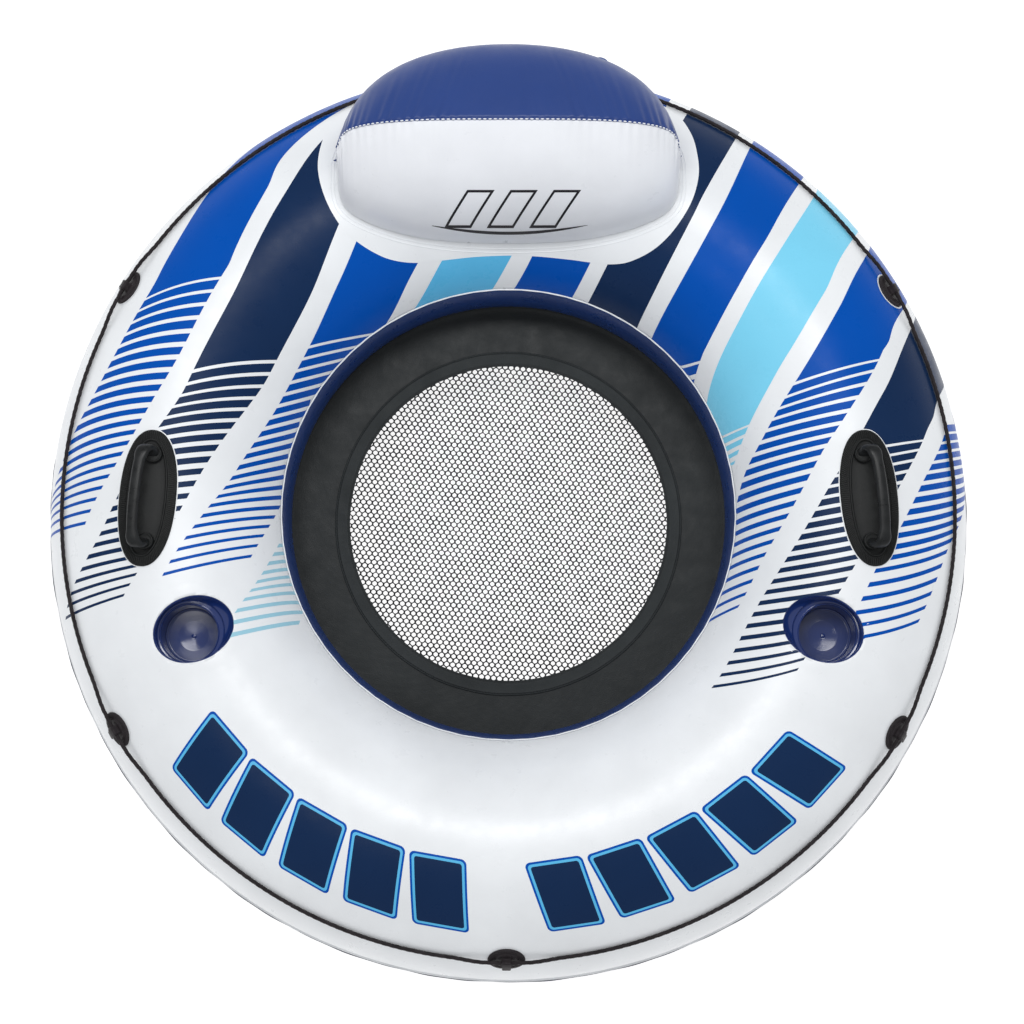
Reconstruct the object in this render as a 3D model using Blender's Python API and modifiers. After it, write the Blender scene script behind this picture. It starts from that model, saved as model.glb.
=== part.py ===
"""One-seat inflatable river tube: a vinyl ring with an inflatable backrest, a mesh seat floor,
two cup holders, two moulded handles and a grab rope held by six welded retainers.

Metres, +Z up. The origin is on the ring's axis, at the level the ring rests on.
+Y points to the backrest, +X to the right seen from above with the backrest at the top, and "right"
and "left" in the names are as seen that way.
"""
import math

import bmesh
import bpy
from mathutils import Matrix, Vector

# ---- ring ----
RING_RADIUS = 0.4965        # from the axis to the middle of the air tube
TUBE_RADIUS = 0.1755        # of the round part of the air tube
RESTING_SQUASH = 0.0065     # the ring's weight flattens the band it rests on by this much
TUBE_CENTRE_HEIGHT = TUBE_RADIUS - RESTING_SQUASH
SKIN = 0.001                # vinyl sheet
GAP = 0.0003                # between pieces that touch
WELD_GAP = 0.0006           # between a moulded fitting and the skin it is welded to
THINNEST = 0.00005          # thinner slivers of mesh are closed up
SKIN_SAG = 0.0022           # how far the skin's flat facets lie inside the round surface
OUTER_LIP = 0.003           # weld lip round the outside
INNER_SEAM_UP = math.radians(18.7)    # inner wall's upper seam, above the hole's narrowest level
INNER_SEAM_DOWN = math.radians(22.0)  # and its lower seam, below that level
RING_STEPS = 60

# ---- floor ----
COLLAR_WIDTH = 0.0958       # from the wall's lower seam to the net that shows
MESH_OPENING = RING_RADIUS - TUBE_RADIUS * math.cos(INNER_SEAM_DOWN) - COLLAR_WIDTH    # its radius
BINDING_WIDTH = 0.0225
BINDING_THICK = 0.0016
NET_THICK = 0.0009
NET_TUCK = 0.015            # net sewn in under the binding
COLLAR_DROP = 0.004         # the floor sags this much from the wall to the net
COLLAR_TURN_UP = 0.012      # collar's welded edge against the wall

# ---- cup holders ----
CUP_TURN = math.radians(22.1)   # in front of the X axis
CUP_RADIUS_FROM_AXIS = RING_RADIUS - 0.0115
CUP_FLOOR_RADIUS = 0.0385
CUP_BODY_RADIUS = CUP_FLOOR_RADIUS + 0.0023
CUP_STEP_RADIUS = CUP_FLOOR_RADIUS + 0.007
RIM_TANGENT = CUP_STEP_RADIUS       # half the rim's opening along the ring
RIM_RADIAL = RIM_TANGENT + 0.012    # half the rim's opening across the ring
RIM_INWARD = 0.010          # the rim is stretched towards the ring's axis
RIM_PROUD = 0.0014
CUP_WALL = 0.0012
CUP_STEP_DEPTH = 0.034
CUP_DEPTH = 0.086
CUP_FLANGE = 0.011
CUP_SIDES = 28

# ---- handles ----
HANDLE_TURN = math.radians(0.6)
HANDLE_LIFT = math.radians(86.6)    # round the air tube, from the outer side up
HANDLE_TWIST = math.radians(4.0)
HANDLE_LENGTH = 0.193
HANDLE_WIDTH = 0.081
HANDLE_SQUARENESS = 2.25    # 2 is an ellipse
HANDLE_BORDER = 0.0125
HANDLE_LIP = 0.0025
HANDLE_LIP_HEIGHT = 0.0065
HANDLE_PLATE = 0.0024
GRIP_RADIUS = 0.0062
GRIP_RISE = 0.034
GRIP_SPAN = HANDLE_LENGTH - 0.065
GRIP_OUTWARD = 0.005
BOSS_RADIUS = GRIP_RADIUS + 0.0043
BOSS_HEIGHT = 0.0125
SOCKET_DEPTH = 0.0075

# ---- grab rope and its retainers ----
ROPE_RADIUS = 0.0028
ROPE_LIFT = math.radians(37.4)
ROPE_POINTS = 108
RETAINER_COUNT = 6
FIRST_RETAINER_TURN = math.radians(-90.25)
RETAINER_LENGTH = 0.053
RETAINER_WIDTH = 0.0465
RETAINER_PLATE = 0.0022
TUNNEL_CLEARANCE = 0.0007
TUNNEL_FLOOR = 0.0008       # rubber between the plate's top and the tunnel
TUNNEL_WALL = 0.0024
TUNNEL_LENGTH = 0.013
TAB_WIDTH = 0.0125
TAB_LENGTH = 0.006

# ---- backrest pillow ----
PILLOW_HALF_WIDTH = 0.243
PILLOW_CENTRE_Y = RING_RADIUS + 0.0105
PILLOW_FRONT_DEPTH = 0.724 * TUBE_RADIUS
PILLOW_BACK_DEPTH = 0.764 * TUBE_RADIUS
PILLOW_RISE = 0.1525        # above the top of the ring
PILLOW_TOP = TUBE_CENTRE_HEIGHT + TUBE_RADIUS + PILLOW_RISE
END_WRAP = 0.022            # the pillow's ends follow the ring round by this much
BASE_WRAP_POWER = 6           # how late along its length the foot bends round the ring
RIDGE_WRAP_POWER = 24         # and the ridge, which stays straight almost to its ends
PANEL_END = 0.004           # radians that a panel stops short of the pillow's ends
PILLOW_LIFT_OFF = 0.0012
PILLOW_STEPS = 24
PILLOW_ROWS = 6
FRONT_SQUARENESS = 3.4
BACK_SQUARENESS = 2.1
ARCH_SQUARENESS = 3.4
RIDGE_ANGLE = math.radians(70)
BACK_TUCK = math.radians(48)
BULGE_LEVEL = 0.48

# ---- valves ----
STEM_RADIUS = 0.0074
STEM_BORE = 0.0043
STEM_LENGTH = 0.024
STEM_HEAD_RADIUS = STEM_RADIUS + 0.0024
STEM_HEAD = 0.0016
RUNNING_GAP = 0.0003
VALVE_SLEEVE_RADIUS = STEM_RADIUS + 0.0016
VALVE_SLEEVE_LENGTH = 0.013
VALVE_FLANGE_RADIUS = STEM_HEAD_RADIUS + 0.0047
VALVE_FLANGE = 0.0014
PLUG_RADIUS = STEM_HEAD_RADIUS - 0.001
PLUG_CAP = 0.0018
PLUG_SPIGOT_RADIUS = STEM_BORE - 0.0012
PLUG_SPIGOT_LENGTH = 0.0055
PLUG_HINGE_REACH = STEM_HEAD_RADIUS + 0.003
HINGE_BEAD_RADIUS = 0.0009
STRAP_WIDTH = 0.006
RING_VALVE_TURN = math.radians(104)
RING_VALVE_LIFT = math.radians(-27)
PILLOW_VALVE_ACROSS = 1.02      # place along the back panel, in radians from its +X end
PILLOW_VALVE_UP = -0.12         # place up the back panel: 0 is the fullest level


def clear_scene():
    for obj in list(bpy.data.objects):
        bpy.data.objects.remove(obj, do_unlink=True)


def make_collection(name):
    collection = bpy.data.collections.new(name)
    bpy.context.scene.collection.children.link(collection)
    return collection


def finish_material(obj, colour, roughness):
    material = bpy.data.materials.new(obj.name)
    material.use_nodes = True
    shader = material.node_tree.nodes["Principled BSDF"]
    shader.inputs["Base Color"].default_value = (*colour, 1.0)
    shader.inputs["Roughness"].default_value = roughness
    shader.inputs["Metallic"].default_value = 0.0
    obj.data.materials.clear()
    obj.data.materials.append(material)


def add_part(name, mesh, colour, roughness, turn=0.0):
    """A part object, turned about the ring's axis to its place."""
    obj = bpy.data.objects.new(name, mesh.copy())
    obj.rotation_euler.z = turn
    parts.objects.link(obj)
    obj.data.shade_smooth()
    obj.data.set_sharp_from_angle(angle=math.radians(35))
    finish_material(obj, colour, roughness)
    return obj


def add_cutter(name, mesh):
    obj = bpy.data.objects.new(name, mesh)
    obj.hide_render = True
    obj.display_type = "WIRE"
    cutters.objects.link(obj)
    return obj


def boolean(obj, other, operation="DIFFERENCE"):
    modifier = obj.modifiers.new(other.name, "BOOLEAN")
    modifier.operation = operation
    modifier.object = other


def baked(obj):
    """The object's mesh with its modifiers applied, in its own space. The object is removed."""
    bpy.context.view_layer.update()
    graph = bpy.context.evaluated_depsgraph_get()
    mesh = bpy.data.meshes.new_from_object(obj.evaluated_get(graph))
    work = bmesh.new()
    work.from_mesh(mesh)
    bmesh.ops.remove_doubles(work, verts=work.verts, dist=1e-6)
    bmesh.ops.recalc_face_normals(work, faces=work.faces)
    work.to_mesh(mesh)
    work.free()
    bpy.data.objects.remove(obj, do_unlink=True)
    return mesh


# ---------------------------------------------------------------- shapes

def loft(name, loops):
    """A skin over closed loops with the same number of points, its first and last loops capped."""
    work = bmesh.new()
    rings = [[work.verts.new(point) for point in loop] for loop in loops]
    count = len(rings[0])
    for lower, upper in zip(rings, rings[1:]):
        for i in range(count):
            j = (i + 1) % count
            work.faces.new((lower[i], lower[j], upper[j], upper[i]))
    work.faces.new(list(reversed(rings[0])))
    work.faces.new(rings[-1])
    bmesh.ops.recalc_face_normals(work, faces=work.faces)
    mesh = bpy.data.meshes.new(name)
    work.to_mesh(mesh)
    work.free()
    return mesh


def cylinder(name, radius, bottom, top, sides=24, at=(0.0, 0.0)):
    """An upright cylinder between two levels."""
    work = bmesh.new()
    place = Matrix.Translation((at[0], at[1], (bottom + top) / 2))
    bmesh.ops.create_cone(work, cap_ends=True, segments=sides, radius1=radius, radius2=radius,
                          depth=top - bottom, matrix=place)
    mesh = bpy.data.meshes.new(name)
    work.to_mesh(mesh)
    work.free()
    return mesh


def box(name, low, high):
    work = bmesh.new()
    low, high = Vector(low), Vector(high)
    size = Matrix.Diagonal((*(high - low), 1.0))
    bmesh.ops.create_cube(work, size=1.0, matrix=Matrix.Translation((low + high) / 2) @ size)
    mesh = bpy.data.meshes.new(name)
    work.to_mesh(mesh)
    work.free()
    return mesh


def turned(name, profile, steps, thick=0.0):
    """A profile of (radius, height) points spun about Z. An open profile gets a sheet thickness."""
    work = bmesh.new()
    verts = [work.verts.new((radius, 0.0, height)) for radius, height in profile]
    for first, second in zip(verts, verts[1:]):
        work.edges.new((first, second))
    mesh = bpy.data.meshes.new(name)
    work.to_mesh(mesh)
    work.free()
    obj = bpy.data.objects.new(name, mesh)
    parts.objects.link(obj)
    screw = obj.modifiers.new("spin", "SCREW")
    screw.steps = screw.render_steps = steps
    screw.use_merge_vertices = True
    screw.merge_threshold = 1e-5
    screw.use_smooth_shade = True
    if thick:
        sheet = obj.modifiers.new("sheet", "SOLIDIFY")
        sheet.thickness = thick
        sheet.offset = -1.0
        sheet.use_even_offset = True
    return obj


def closed_turned(name, profile, steps=20):
    """A solid of revolution from a profile that starts and ends on the axis, or closes on itself."""
    obj = turned(name, profile, steps)
    mesh = baked(obj)
    if mesh_volume(mesh) < 0:
        mesh.flip_normals()
    return mesh


def mesh_volume(mesh):
    work = bmesh.new()
    work.from_mesh(mesh)
    volume = work.calc_volume(signed=True)
    work.free()
    return volume


def signed_power(value, power):
    return math.copysign(abs(value) ** power, value)


def oval_loop(across, along, height, sides, middle=(0.0, 0.0), squareness=2.0):
    """An oval in the XY plane, an ellipse unless it is made squarer."""
    loop = []
    for i in range(sides):
        angle = 2 * math.pi * i / sides
        loop.append((middle[0] + across * signed_power(math.cos(angle), 2 / squareness),
                     middle[1] + along * signed_power(math.sin(angle), 2 / squareness), height))
    return loop


# ---------------------------------------------------------------- the ring's own surface

def on_ring(turn, lift, height=0.0):
    """A point on the round part of the ring's skin. Lift goes from the outer side up and over."""
    reach = TUBE_RADIUS + height
    radius = RING_RADIUS + reach * math.cos(lift)
    return Vector((radius * math.cos(turn), radius * math.sin(turn),
                   TUBE_CENTRE_HEIGHT + reach * math.sin(lift)))


def skin_height(x, y, above=0.0):
    """Height of the upper skin, or of a surface parallel to it, over a point of the plan."""
    aside = math.hypot(x, y) - RING_RADIUS
    return TUBE_CENTRE_HEIGHT + math.sqrt((TUBE_RADIUS + above) ** 2 - aside ** 2)


def wrap_on_ring(mesh, lift, twist=0.0, above=WELD_GAP):
    """Lays a flat-modelled fitting on the ring at turn 0: its X straight on, Y up the tube, Z out.

    A row of points with the same Y stays straight seen from above, as a plate welded to the flat
    sheet does once the ring is blown up.
    """
    work = bmesh.new()
    work.from_mesh(mesh)
    bmesh.ops.triangulate(work, faces=work.faces)
    bmesh.ops.dissolve_degenerate(work, dist=THINNEST, edges=work.edges)
    work.to_mesh(mesh)
    work.free()
    cosine, sine = math.cos(twist), math.sin(twist)
    for vert in mesh.vertices:
        x, y, z = vert.co
        x, y = x * cosine - y * sine, x * sine + y * cosine
        out = RING_RADIUS + TUBE_RADIUS * math.cos(lift + y / TUBE_RADIUS)
        level = math.acos((math.hypot(out, x) - RING_RADIUS) / TUBE_RADIUS)
        vert.co = on_ring(math.atan2(x, out), level, z + above)
    mesh.update()
    return mesh


def arc_profile(start, stop, points):
    """(radius, height) points round the air tube, from one lift angle to another."""
    profile = []
    for i in range(points + 1):
        lift = start + (stop - start) * i / points
        profile.append((RING_RADIUS + TUBE_RADIUS * math.cos(lift),
                        TUBE_CENTRE_HEIGHT + TUBE_RADIUS * math.sin(lift)))
    return profile


# ---------------------------------------------------------------- the ring

def cup_turn(side):
    """Where a cup is round the ring: side is +1 right, -1 left."""
    return -CUP_TURN if side > 0 else math.pi + CUP_TURN


def cup_hole_cutter(side):
    margin = CUP_WALL + 2 * GAP
    middle = (CUP_RADIUS_FROM_AXIS - RIM_INWARD, 0.0)
    loops = [oval_loop(RIM_RADIAL + margin, RIM_TANGENT + margin, height, CUP_SIDES, middle)
             for height in (TUBE_CENTRE_HEIGHT, TUBE_CENTRE_HEIGHT + 1.3 * TUBE_RADIUS)]
    cutter = add_cutter(f"cup_hole_{'right' if side > 0 else 'left'}", loft("cup_hole", loops))
    cutter.rotation_euler.z = cup_turn(side)
    return cutter


def make_ring():
    half_gap = GAP / 2
    rest_lift = -math.asin(TUBE_CENTRE_HEIGHT / TUBE_RADIUS)
    seam_up = math.pi - INNER_SEAM_UP
    seam_down = -math.pi + INNER_SEAM_DOWN
    small = half_gap / TUBE_RADIUS

    lip = RING_RADIUS + TUBE_RADIUS + OUTER_LIP
    top_lip = (lip, TUBE_CENTRE_HEIGHT + half_gap + SKIN)
    top_profile = arc_profile(seam_up - small, (half_gap + SKIN) / TUBE_RADIUS, 12) + [top_lip]
    top = turned("ring_top_skin", top_profile, RING_STEPS, SKIN)
    for side in (1, -1):
        boolean(top, cup_hole_cutter(side))

    bottom_lip = (lip, TUBE_CENTRE_HEIGHT - half_gap - SKIN)
    outer_side = arc_profile(-(half_gap + SKIN) / TUBE_RADIUS, rest_lift, 5)
    inner_side = arc_profile(-math.pi - rest_lift, seam_down + small, 4)
    bottom = turned("ring_bottom_skin", [bottom_lip] + outer_side + inner_side, RING_STEPS, SKIN)
    hole = add_cutter("ring_valve_hole", cylinder("hole", VALVE_SLEEVE_RADIUS + GAP, -0.03, 0.03, 24))
    hole.matrix_world = ring_valve_place()
    boolean(bottom, hole)

    wall_profile = arc_profile(seam_down - small, -math.pi - INNER_SEAM_UP + small, 3)
    wall = turned("ring_inner_wall", wall_profile, RING_STEPS, SKIN)

    for obj, colour, roughness in ((top, (0.80, 0.83, 0.86), 0.32), (bottom, (0.02, 0.03, 0.08), 0.4),
                                   (wall, (0.012, 0.045, 0.21), 0.35)):
        finish_material(obj, colour, roughness)


def make_floor():
    """Collar, net and binding lie on each other as they are sewn."""
    wall_radius = RING_RADIUS - TUBE_RADIUS * math.cos(INNER_SEAM_DOWN)
    wall_height = TUBE_CENTRE_HEIGHT - TUBE_RADIUS * math.sin(INNER_SEAM_DOWN)
    inner_edge = MESH_OPENING + 0.002
    floor_height = wall_height - COLLAR_DROP
    foot = wall_radius - 2 * SKIN
    turn_up = COLLAR_TURN_UP / TUBE_RADIUS
    edge = []
    for share in (1, 0):
        lift = math.pi + INNER_SEAM_DOWN - turn_up * share
        reach = TUBE_RADIUS + WELD_GAP + SKIN
        edge.append((RING_RADIUS + reach * math.cos(lift), TUBE_CENTRE_HEIGHT + reach * math.sin(lift)))
    flat = [(foot - 0.010, wall_height - 0.0035), (foot - 0.035, floor_height), (inner_edge, floor_height)]
    collar = turned("floor_collar", list(reversed(edge + flat)), RING_STEPS, SKIN)

    net_bottom = floor_height + GAP
    net_top = net_bottom + NET_THICK
    add_part("seat_mesh", cylinder("net", MESH_OPENING + NET_TUCK, net_bottom, net_top, RING_STEPS),
             (0.02, 0.02, 0.022), 0.8)

    low, high = net_top + GAP, net_top + GAP + BINDING_THICK
    inside, outside = MESH_OPENING, MESH_OPENING + BINDING_WIDTH
    ring = [(outside, high), (outside, low), (inside, low), (inside, high), (outside, high)]
    add_part("mesh_binding", closed_turned("binding", ring, RING_STEPS), (0.03, 0.034, 0.034), 0.6)
    finish_material(collar, (0.03, 0.034, 0.034), 0.45)


# ---------------------------------------------------------------- cup holders

def make_cup(side):
    """A formed cup: a round body and step below, an oval rim through the skin, a flange under it."""
    axis_radius = CUP_RADIUS_FROM_AXIS
    rim_middle = (axis_radius - RIM_INWARD, 0.0)
    top_level = skin_height(axis_radius, 0.0)

    def ring_loop(grow, above):
        """An oval round the rim that follows the skin."""
        flat = oval_loop(RIM_RADIAL + grow, RIM_TANGENT + grow, 0.0, CUP_SIDES, rim_middle)
        return [(x, y, skin_height(x, y, above)) for x, y, _ in flat]

    def body_loop(radius, depth, toward_rim=0.0):
        """A level loop between the round body and the oval rim."""
        across = radius + (RIM_RADIAL - RIM_TANGENT) * toward_rim
        middle = (axis_radius - RIM_INWARD * toward_rim, 0.0)
        return oval_loop(across, radius, top_level - depth, CUP_SIDES, middle)

    wall, under = CUP_WALL, -(SKIN + SKIN_SAG + GAP)
    outside = [
        body_loop(0.006, CUP_DEPTH + wall),
        body_loop(CUP_FLOOR_RADIUS - 0.002, CUP_DEPTH + wall),
        body_loop(CUP_FLOOR_RADIUS + wall, CUP_DEPTH - 0.002),
        body_loop(CUP_BODY_RADIUS + wall, CUP_STEP_DEPTH + wall),
        body_loop(CUP_STEP_RADIUS + wall, CUP_STEP_DEPTH, 0.25),
        ring_loop(wall - 0.0002, under - wall - 0.004),
        ring_loop(wall + 0.003, under - wall),
        ring_loop(CUP_FLANGE, under - wall),
    ]
    inside = [
        ring_loop(CUP_FLANGE, under),
        ring_loop(wall + 0.0012, under),
        ring_loop(wall, under + 0.0006),
        ring_loop(wall, RIM_PROUD * 0.6),
        ring_loop(wall * 0.5, RIM_PROUD),
        ring_loop(0.0, RIM_PROUD * 0.6),
        ring_loop(-0.0008, under - 0.004),
        body_loop(CUP_STEP_RADIUS, CUP_STEP_DEPTH - wall, 0.25),
        body_loop(CUP_BODY_RADIUS, CUP_STEP_DEPTH),
        body_loop(CUP_FLOOR_RADIUS, CUP_DEPTH - 0.004),
        body_loop(CUP_FLOOR_RADIUS - 0.003, CUP_DEPTH),
        body_loop(0.006, CUP_DEPTH),
    ]
    name = "cup_holder_right" if side > 0 else "cup_holder_left"
    add_part(name, loft(name, outside + inside), (0.015, 0.035, 0.16), 0.22, cup_turn(side))


# ---------------------------------------------------------------- handles

def handle_base_mesh(name):
    """A welded plate with a raised lip round its recess, and a socketed boss near each end."""
    def outline(inset, height):
        half_long, half_wide = HANDLE_LENGTH / 2 - inset, HANDLE_WIDTH / 2 - inset
        return oval_loop(half_long, half_wide, height, 32, squareness=HANDLE_SQUARENESS)

    plate = HANDLE_PLATE
    lip_in = HANDLE_BORDER + HANDLE_LIP
    middle = HANDLE_WIDTH / 2 - 0.004
    loops = [outline(middle, 0.0), outline(HANDLE_WIDTH * 0.33, 0.0), outline(HANDLE_BORDER, 0.0),
             outline(0.0, 0.0), outline(0.0006, plate * 0.6), outline(0.003, plate),
             outline(HANDLE_BORDER - 0.001, plate + 0.0008), outline(HANDLE_BORDER + 0.0004, HANDLE_LIP_HEIGHT),
             outline(lip_in, HANDLE_LIP_HEIGHT), outline(lip_in + 0.0015, plate),
             outline(HANDLE_WIDTH * 0.36, plate), outline(middle, plate)]
    base = bpy.data.objects.new(name, loft(name, loops))
    parts.objects.link(base)
    helpers = []
    for end in (1, -1):
        at = (end * GRIP_SPAN / 2, -GRIP_OUTWARD)
        boss = add_cutter(f"{name}_boss", cylinder("boss", BOSS_RADIUS, plate / 2, BOSS_HEIGHT, 20, at))
        boolean(base, boss, "UNION")
        helpers.append(boss)
    for end in (1, -1):
        at = (end * GRIP_SPAN / 2, -GRIP_OUTWARD)
        bottom = BOSS_HEIGHT - SOCKET_DEPTH
        socket = add_cutter(f"{name}_socket", cylinder("socket", GRIP_RADIUS + GAP, bottom, 0.03, 20, at))
        boolean(base, socket)
        helpers.append(socket)
    mesh = baked(base)
    for helper in helpers:
        bpy.data.objects.remove(helper, do_unlink=True)
    return mesh


def grip_mesh(name):
    """A round bar that rises from one boss, runs level and comes down into the other."""
    half = GRIP_SPAN / 2
    bottom = BOSS_HEIGHT - SOCKET_DEPTH + 2 * GAP
    bend = GRIP_RISE - BOSS_HEIGHT
    route = [Vector((-half, 0, bottom)), Vector((-half, 0, BOSS_HEIGHT))]
    for i in range(1, 7):
        angle = math.pi - math.pi / 2 * i / 6
        route.append(Vector((-half + bend + bend * math.cos(angle), 0, BOSS_HEIGHT + bend * math.sin(angle))))
    inner = half - bend
    route += [Vector((-inner * 0.34, 0, GRIP_RISE + 0.001)), Vector((inner * 0.34, 0, GRIP_RISE + 0.001))]
    route += [Vector((-point.x, 0, point.z)) for point in reversed(route[:8])]
    curve = bpy.data.curves.new(name, "CURVE")
    curve.dimensions = "3D"
    curve.bevel_depth = GRIP_RADIUS
    curve.bevel_resolution = 2
    curve.use_fill_caps = True
    spline = curve.splines.new("POLY")
    spline.points.add(len(route) - 1)
    for point, place in zip(spline.points, route):
        point.co = (place.x, -GRIP_OUTWARD, place.z, 1.0)
    obj = bpy.data.objects.new(name, curve)
    parts.objects.link(obj)
    return baked(obj)


def make_handles():
    for side, label in ((1, "right"), (-1, "left")):
        turn = HANDLE_TURN if side > 0 else math.pi - HANDLE_TURN
        twist = HANDLE_TWIST * side
        base = wrap_on_ring(handle_base_mesh("base"), HANDLE_LIFT, twist)
        add_part(f"handle_base_{label}", base, (0.026, 0.028, 0.028), 0.5, turn)
        grip = wrap_on_ring(grip_mesh("grip"), HANDLE_LIFT, twist)
        add_part(f"handle_grip_{label}", grip, (0.022, 0.023, 0.024), 0.42, turn)


# ---------------------------------------------------------------- grab rope

ROPE_LOW = WELD_GAP + ROPE_RADIUS                                   # on the bare skin
ROPE_HIGH = WELD_GAP + RETAINER_PLATE + TUNNEL_FLOOR + TUNNEL_CLEARANCE + ROPE_RADIUS  # in a retainer


def retainer_turn(index):
    return FIRST_RETAINER_TURN + 2 * math.pi * index / RETAINER_COUNT


def rope_height(turn):
    """The rope's height above the skin: it climbs to pass through each retainer."""
    step = 2 * math.pi / RETAINER_COUNT
    off = abs((turn - FIRST_RETAINER_TURN + step / 2) % step - step / 2)
    along = off * (RING_RADIUS + TUBE_RADIUS * math.cos(ROPE_LIFT))
    level = RETAINER_LENGTH / 2 + 0.004
    fall = min(max((along - level) / 0.05, 0.0), 1.0)
    ease = fall * fall * (3 - 2 * fall)
    return ROPE_HIGH + (ROPE_LOW - ROPE_HIGH) * ease


def make_rope():
    curve = bpy.data.curves.new("grab_rope", "CURVE")
    curve.dimensions = "3D"
    curve.bevel_depth = ROPE_RADIUS
    curve.bevel_resolution = 2
    spline = curve.splines.new("POLY")
    spline.use_cyclic_u = True
    spline.points.add(ROPE_POINTS - 1)
    for i, point in enumerate(spline.points):
        turn = 2 * math.pi * (i + 0.5) / ROPE_POINTS
        point.co = (*on_ring(turn, ROPE_LIFT, rope_height(turn)), 1.0)
    obj = bpy.data.objects.new("rope_curve", curve)
    parts.objects.link(obj)
    add_part("grab_rope", baked(obj), (0.016, 0.012, 0.014), 0.75)


def retainer_mesh():
    """A welded oval plate with a tunnel block for the rope and a small tab on its outer side."""
    half_long, half_wide, plate = RETAINER_LENGTH / 2, RETAINER_WIDTH / 2, RETAINER_PLATE
    loops = [oval_loop(half_long * share, half_wide * share, height, 18)
             for share, height in ((0.15, 0.0), (0.6, 0.0), (1.0, 0.0), (0.96, plate), (0.15, plate))]
    base = bpy.data.objects.new("retainer", loft("retainer", loops))
    parts.objects.link(base)
    tunnel_radius = ROPE_RADIUS + TUNNEL_CLEARANCE
    rope_level = ROPE_HIGH - WELD_GAP
    half_block = tunnel_radius + TUNNEL_WALL
    block = add_cutter("block", box("block", (-TUNNEL_LENGTH / 2, -half_block, plate / 2),
                                    (TUNNEL_LENGTH / 2, half_block, rope_level + half_block)))
    bevel = block.modifiers.new("soft edges", "BEVEL")
    bevel.width = TUNNEL_WALL * 0.6
    bevel.segments = 1
    tab = add_cutter("tab", box("tab", (-TAB_WIDTH / 2, -half_wide - TAB_LENGTH, plate * 0.25),
                                (TAB_WIDTH / 2, -half_wide * 0.8, plate * 0.9)))
    tunnel = add_cutter("tunnel", cylinder("tunnel", tunnel_radius, -0.04, 0.04, 10))
    tunnel.matrix_world = Matrix.Translation((0, 0, rope_level)) @ Matrix.Rotation(math.pi / 2, 4, "Y")
    boolean(base, block, "UNION")
    boolean(base, tab, "UNION")
    boolean(base, tunnel)
    mesh = baked(base)
    for helper in (block, tab, tunnel):
        bpy.data.objects.remove(helper, do_unlink=True)
    return mesh


def make_retainers():
    mesh = wrap_on_ring(retainer_mesh(), ROPE_LIFT)
    for index in range(RETAINER_COUNT):
        add_part(f"rope_retainer_{index + 1}", mesh, (0.02, 0.014, 0.016), 0.5, retainer_turn(index))


# ---------------------------------------------------------------- backrest pillow

def pillow_base(angle, depth, squareness):
    """The weld line of a panel on the ring. Angle runs from the +X end, 0, to the -X end, pi."""
    x = PILLOW_HALF_WIDTH * signed_power(math.cos(angle), 2 / squareness)
    y = PILLOW_CENTRE_Y + depth * abs(math.sin(angle)) ** (2 / squareness)
    y -= END_WRAP * abs(math.cos(angle)) ** BASE_WRAP_POWER
    return Vector((x, y, skin_height(x, y, PILLOW_LIFT_OFF)))


def pillow_ridge(angle):
    """The arch where the front and back panels are welded together."""
    x = PILLOW_HALF_WIDTH * signed_power(math.cos(angle), 2 / ARCH_SQUARENESS)
    y = PILLOW_CENTRE_Y - END_WRAP * abs(math.cos(angle)) ** RIDGE_WRAP_POWER
    low = skin_height(x, y, PILLOW_LIFT_OFF)
    return Vector((x, y, low + (PILLOW_TOP - low) * math.sin(angle) ** (2 / ARCH_SQUARENESS)))


def front_point(angle, rise):
    """Rise runs from 0 at the weld line to 1 at the ridge."""
    base = pillow_base(angle, -PILLOW_FRONT_DEPTH, FRONT_SQUARENESS)
    ridge = pillow_ridge(angle)
    swing = RIDGE_ANGLE * rise
    out = (math.cos(swing) - math.cos(RIDGE_ANGLE)) / (1 - math.cos(RIDGE_ANGLE))
    up = math.sin(swing) / math.sin(RIDGE_ANGLE)
    point = ridge.lerp(base, out)
    point.z = base.z + (ridge.z - base.z) * up
    point.y -= SKIN * rise
    return point


def back_point(angle, swing):
    """Swing runs from -BACK_TUCK at the weld line, through 0 at the fullest level, to RIDGE_ANGLE."""
    base_depth = PILLOW_BACK_DEPTH * math.cos(BACK_TUCK)
    base = pillow_base(angle, base_depth, BACK_SQUARENESS)
    full = pillow_base(angle, PILLOW_BACK_DEPTH, BACK_SQUARENESS)
    ridge = pillow_ridge(angle)
    level = base.z + (ridge.z - base.z) * BULGE_LEVEL
    if swing < 0:
        share = math.sin(-swing) / math.sin(BACK_TUCK)
        spread = (math.cos(swing) - math.cos(BACK_TUCK)) / (1 - math.cos(BACK_TUCK))
        point = base.lerp(full, spread)
        point.z = level + (base.z - level) * share
    else:
        out = (math.cos(swing) - math.cos(RIDGE_ANGLE)) / (1 - math.cos(RIDGE_ANGLE))
        point = ridge.lerp(full, out)
        point.z = level + (ridge.z - level) * math.sin(swing) / math.sin(RIDGE_ANGLE)
        point.y += SKIN * swing / RIDGE_ANGLE
    return point


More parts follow.
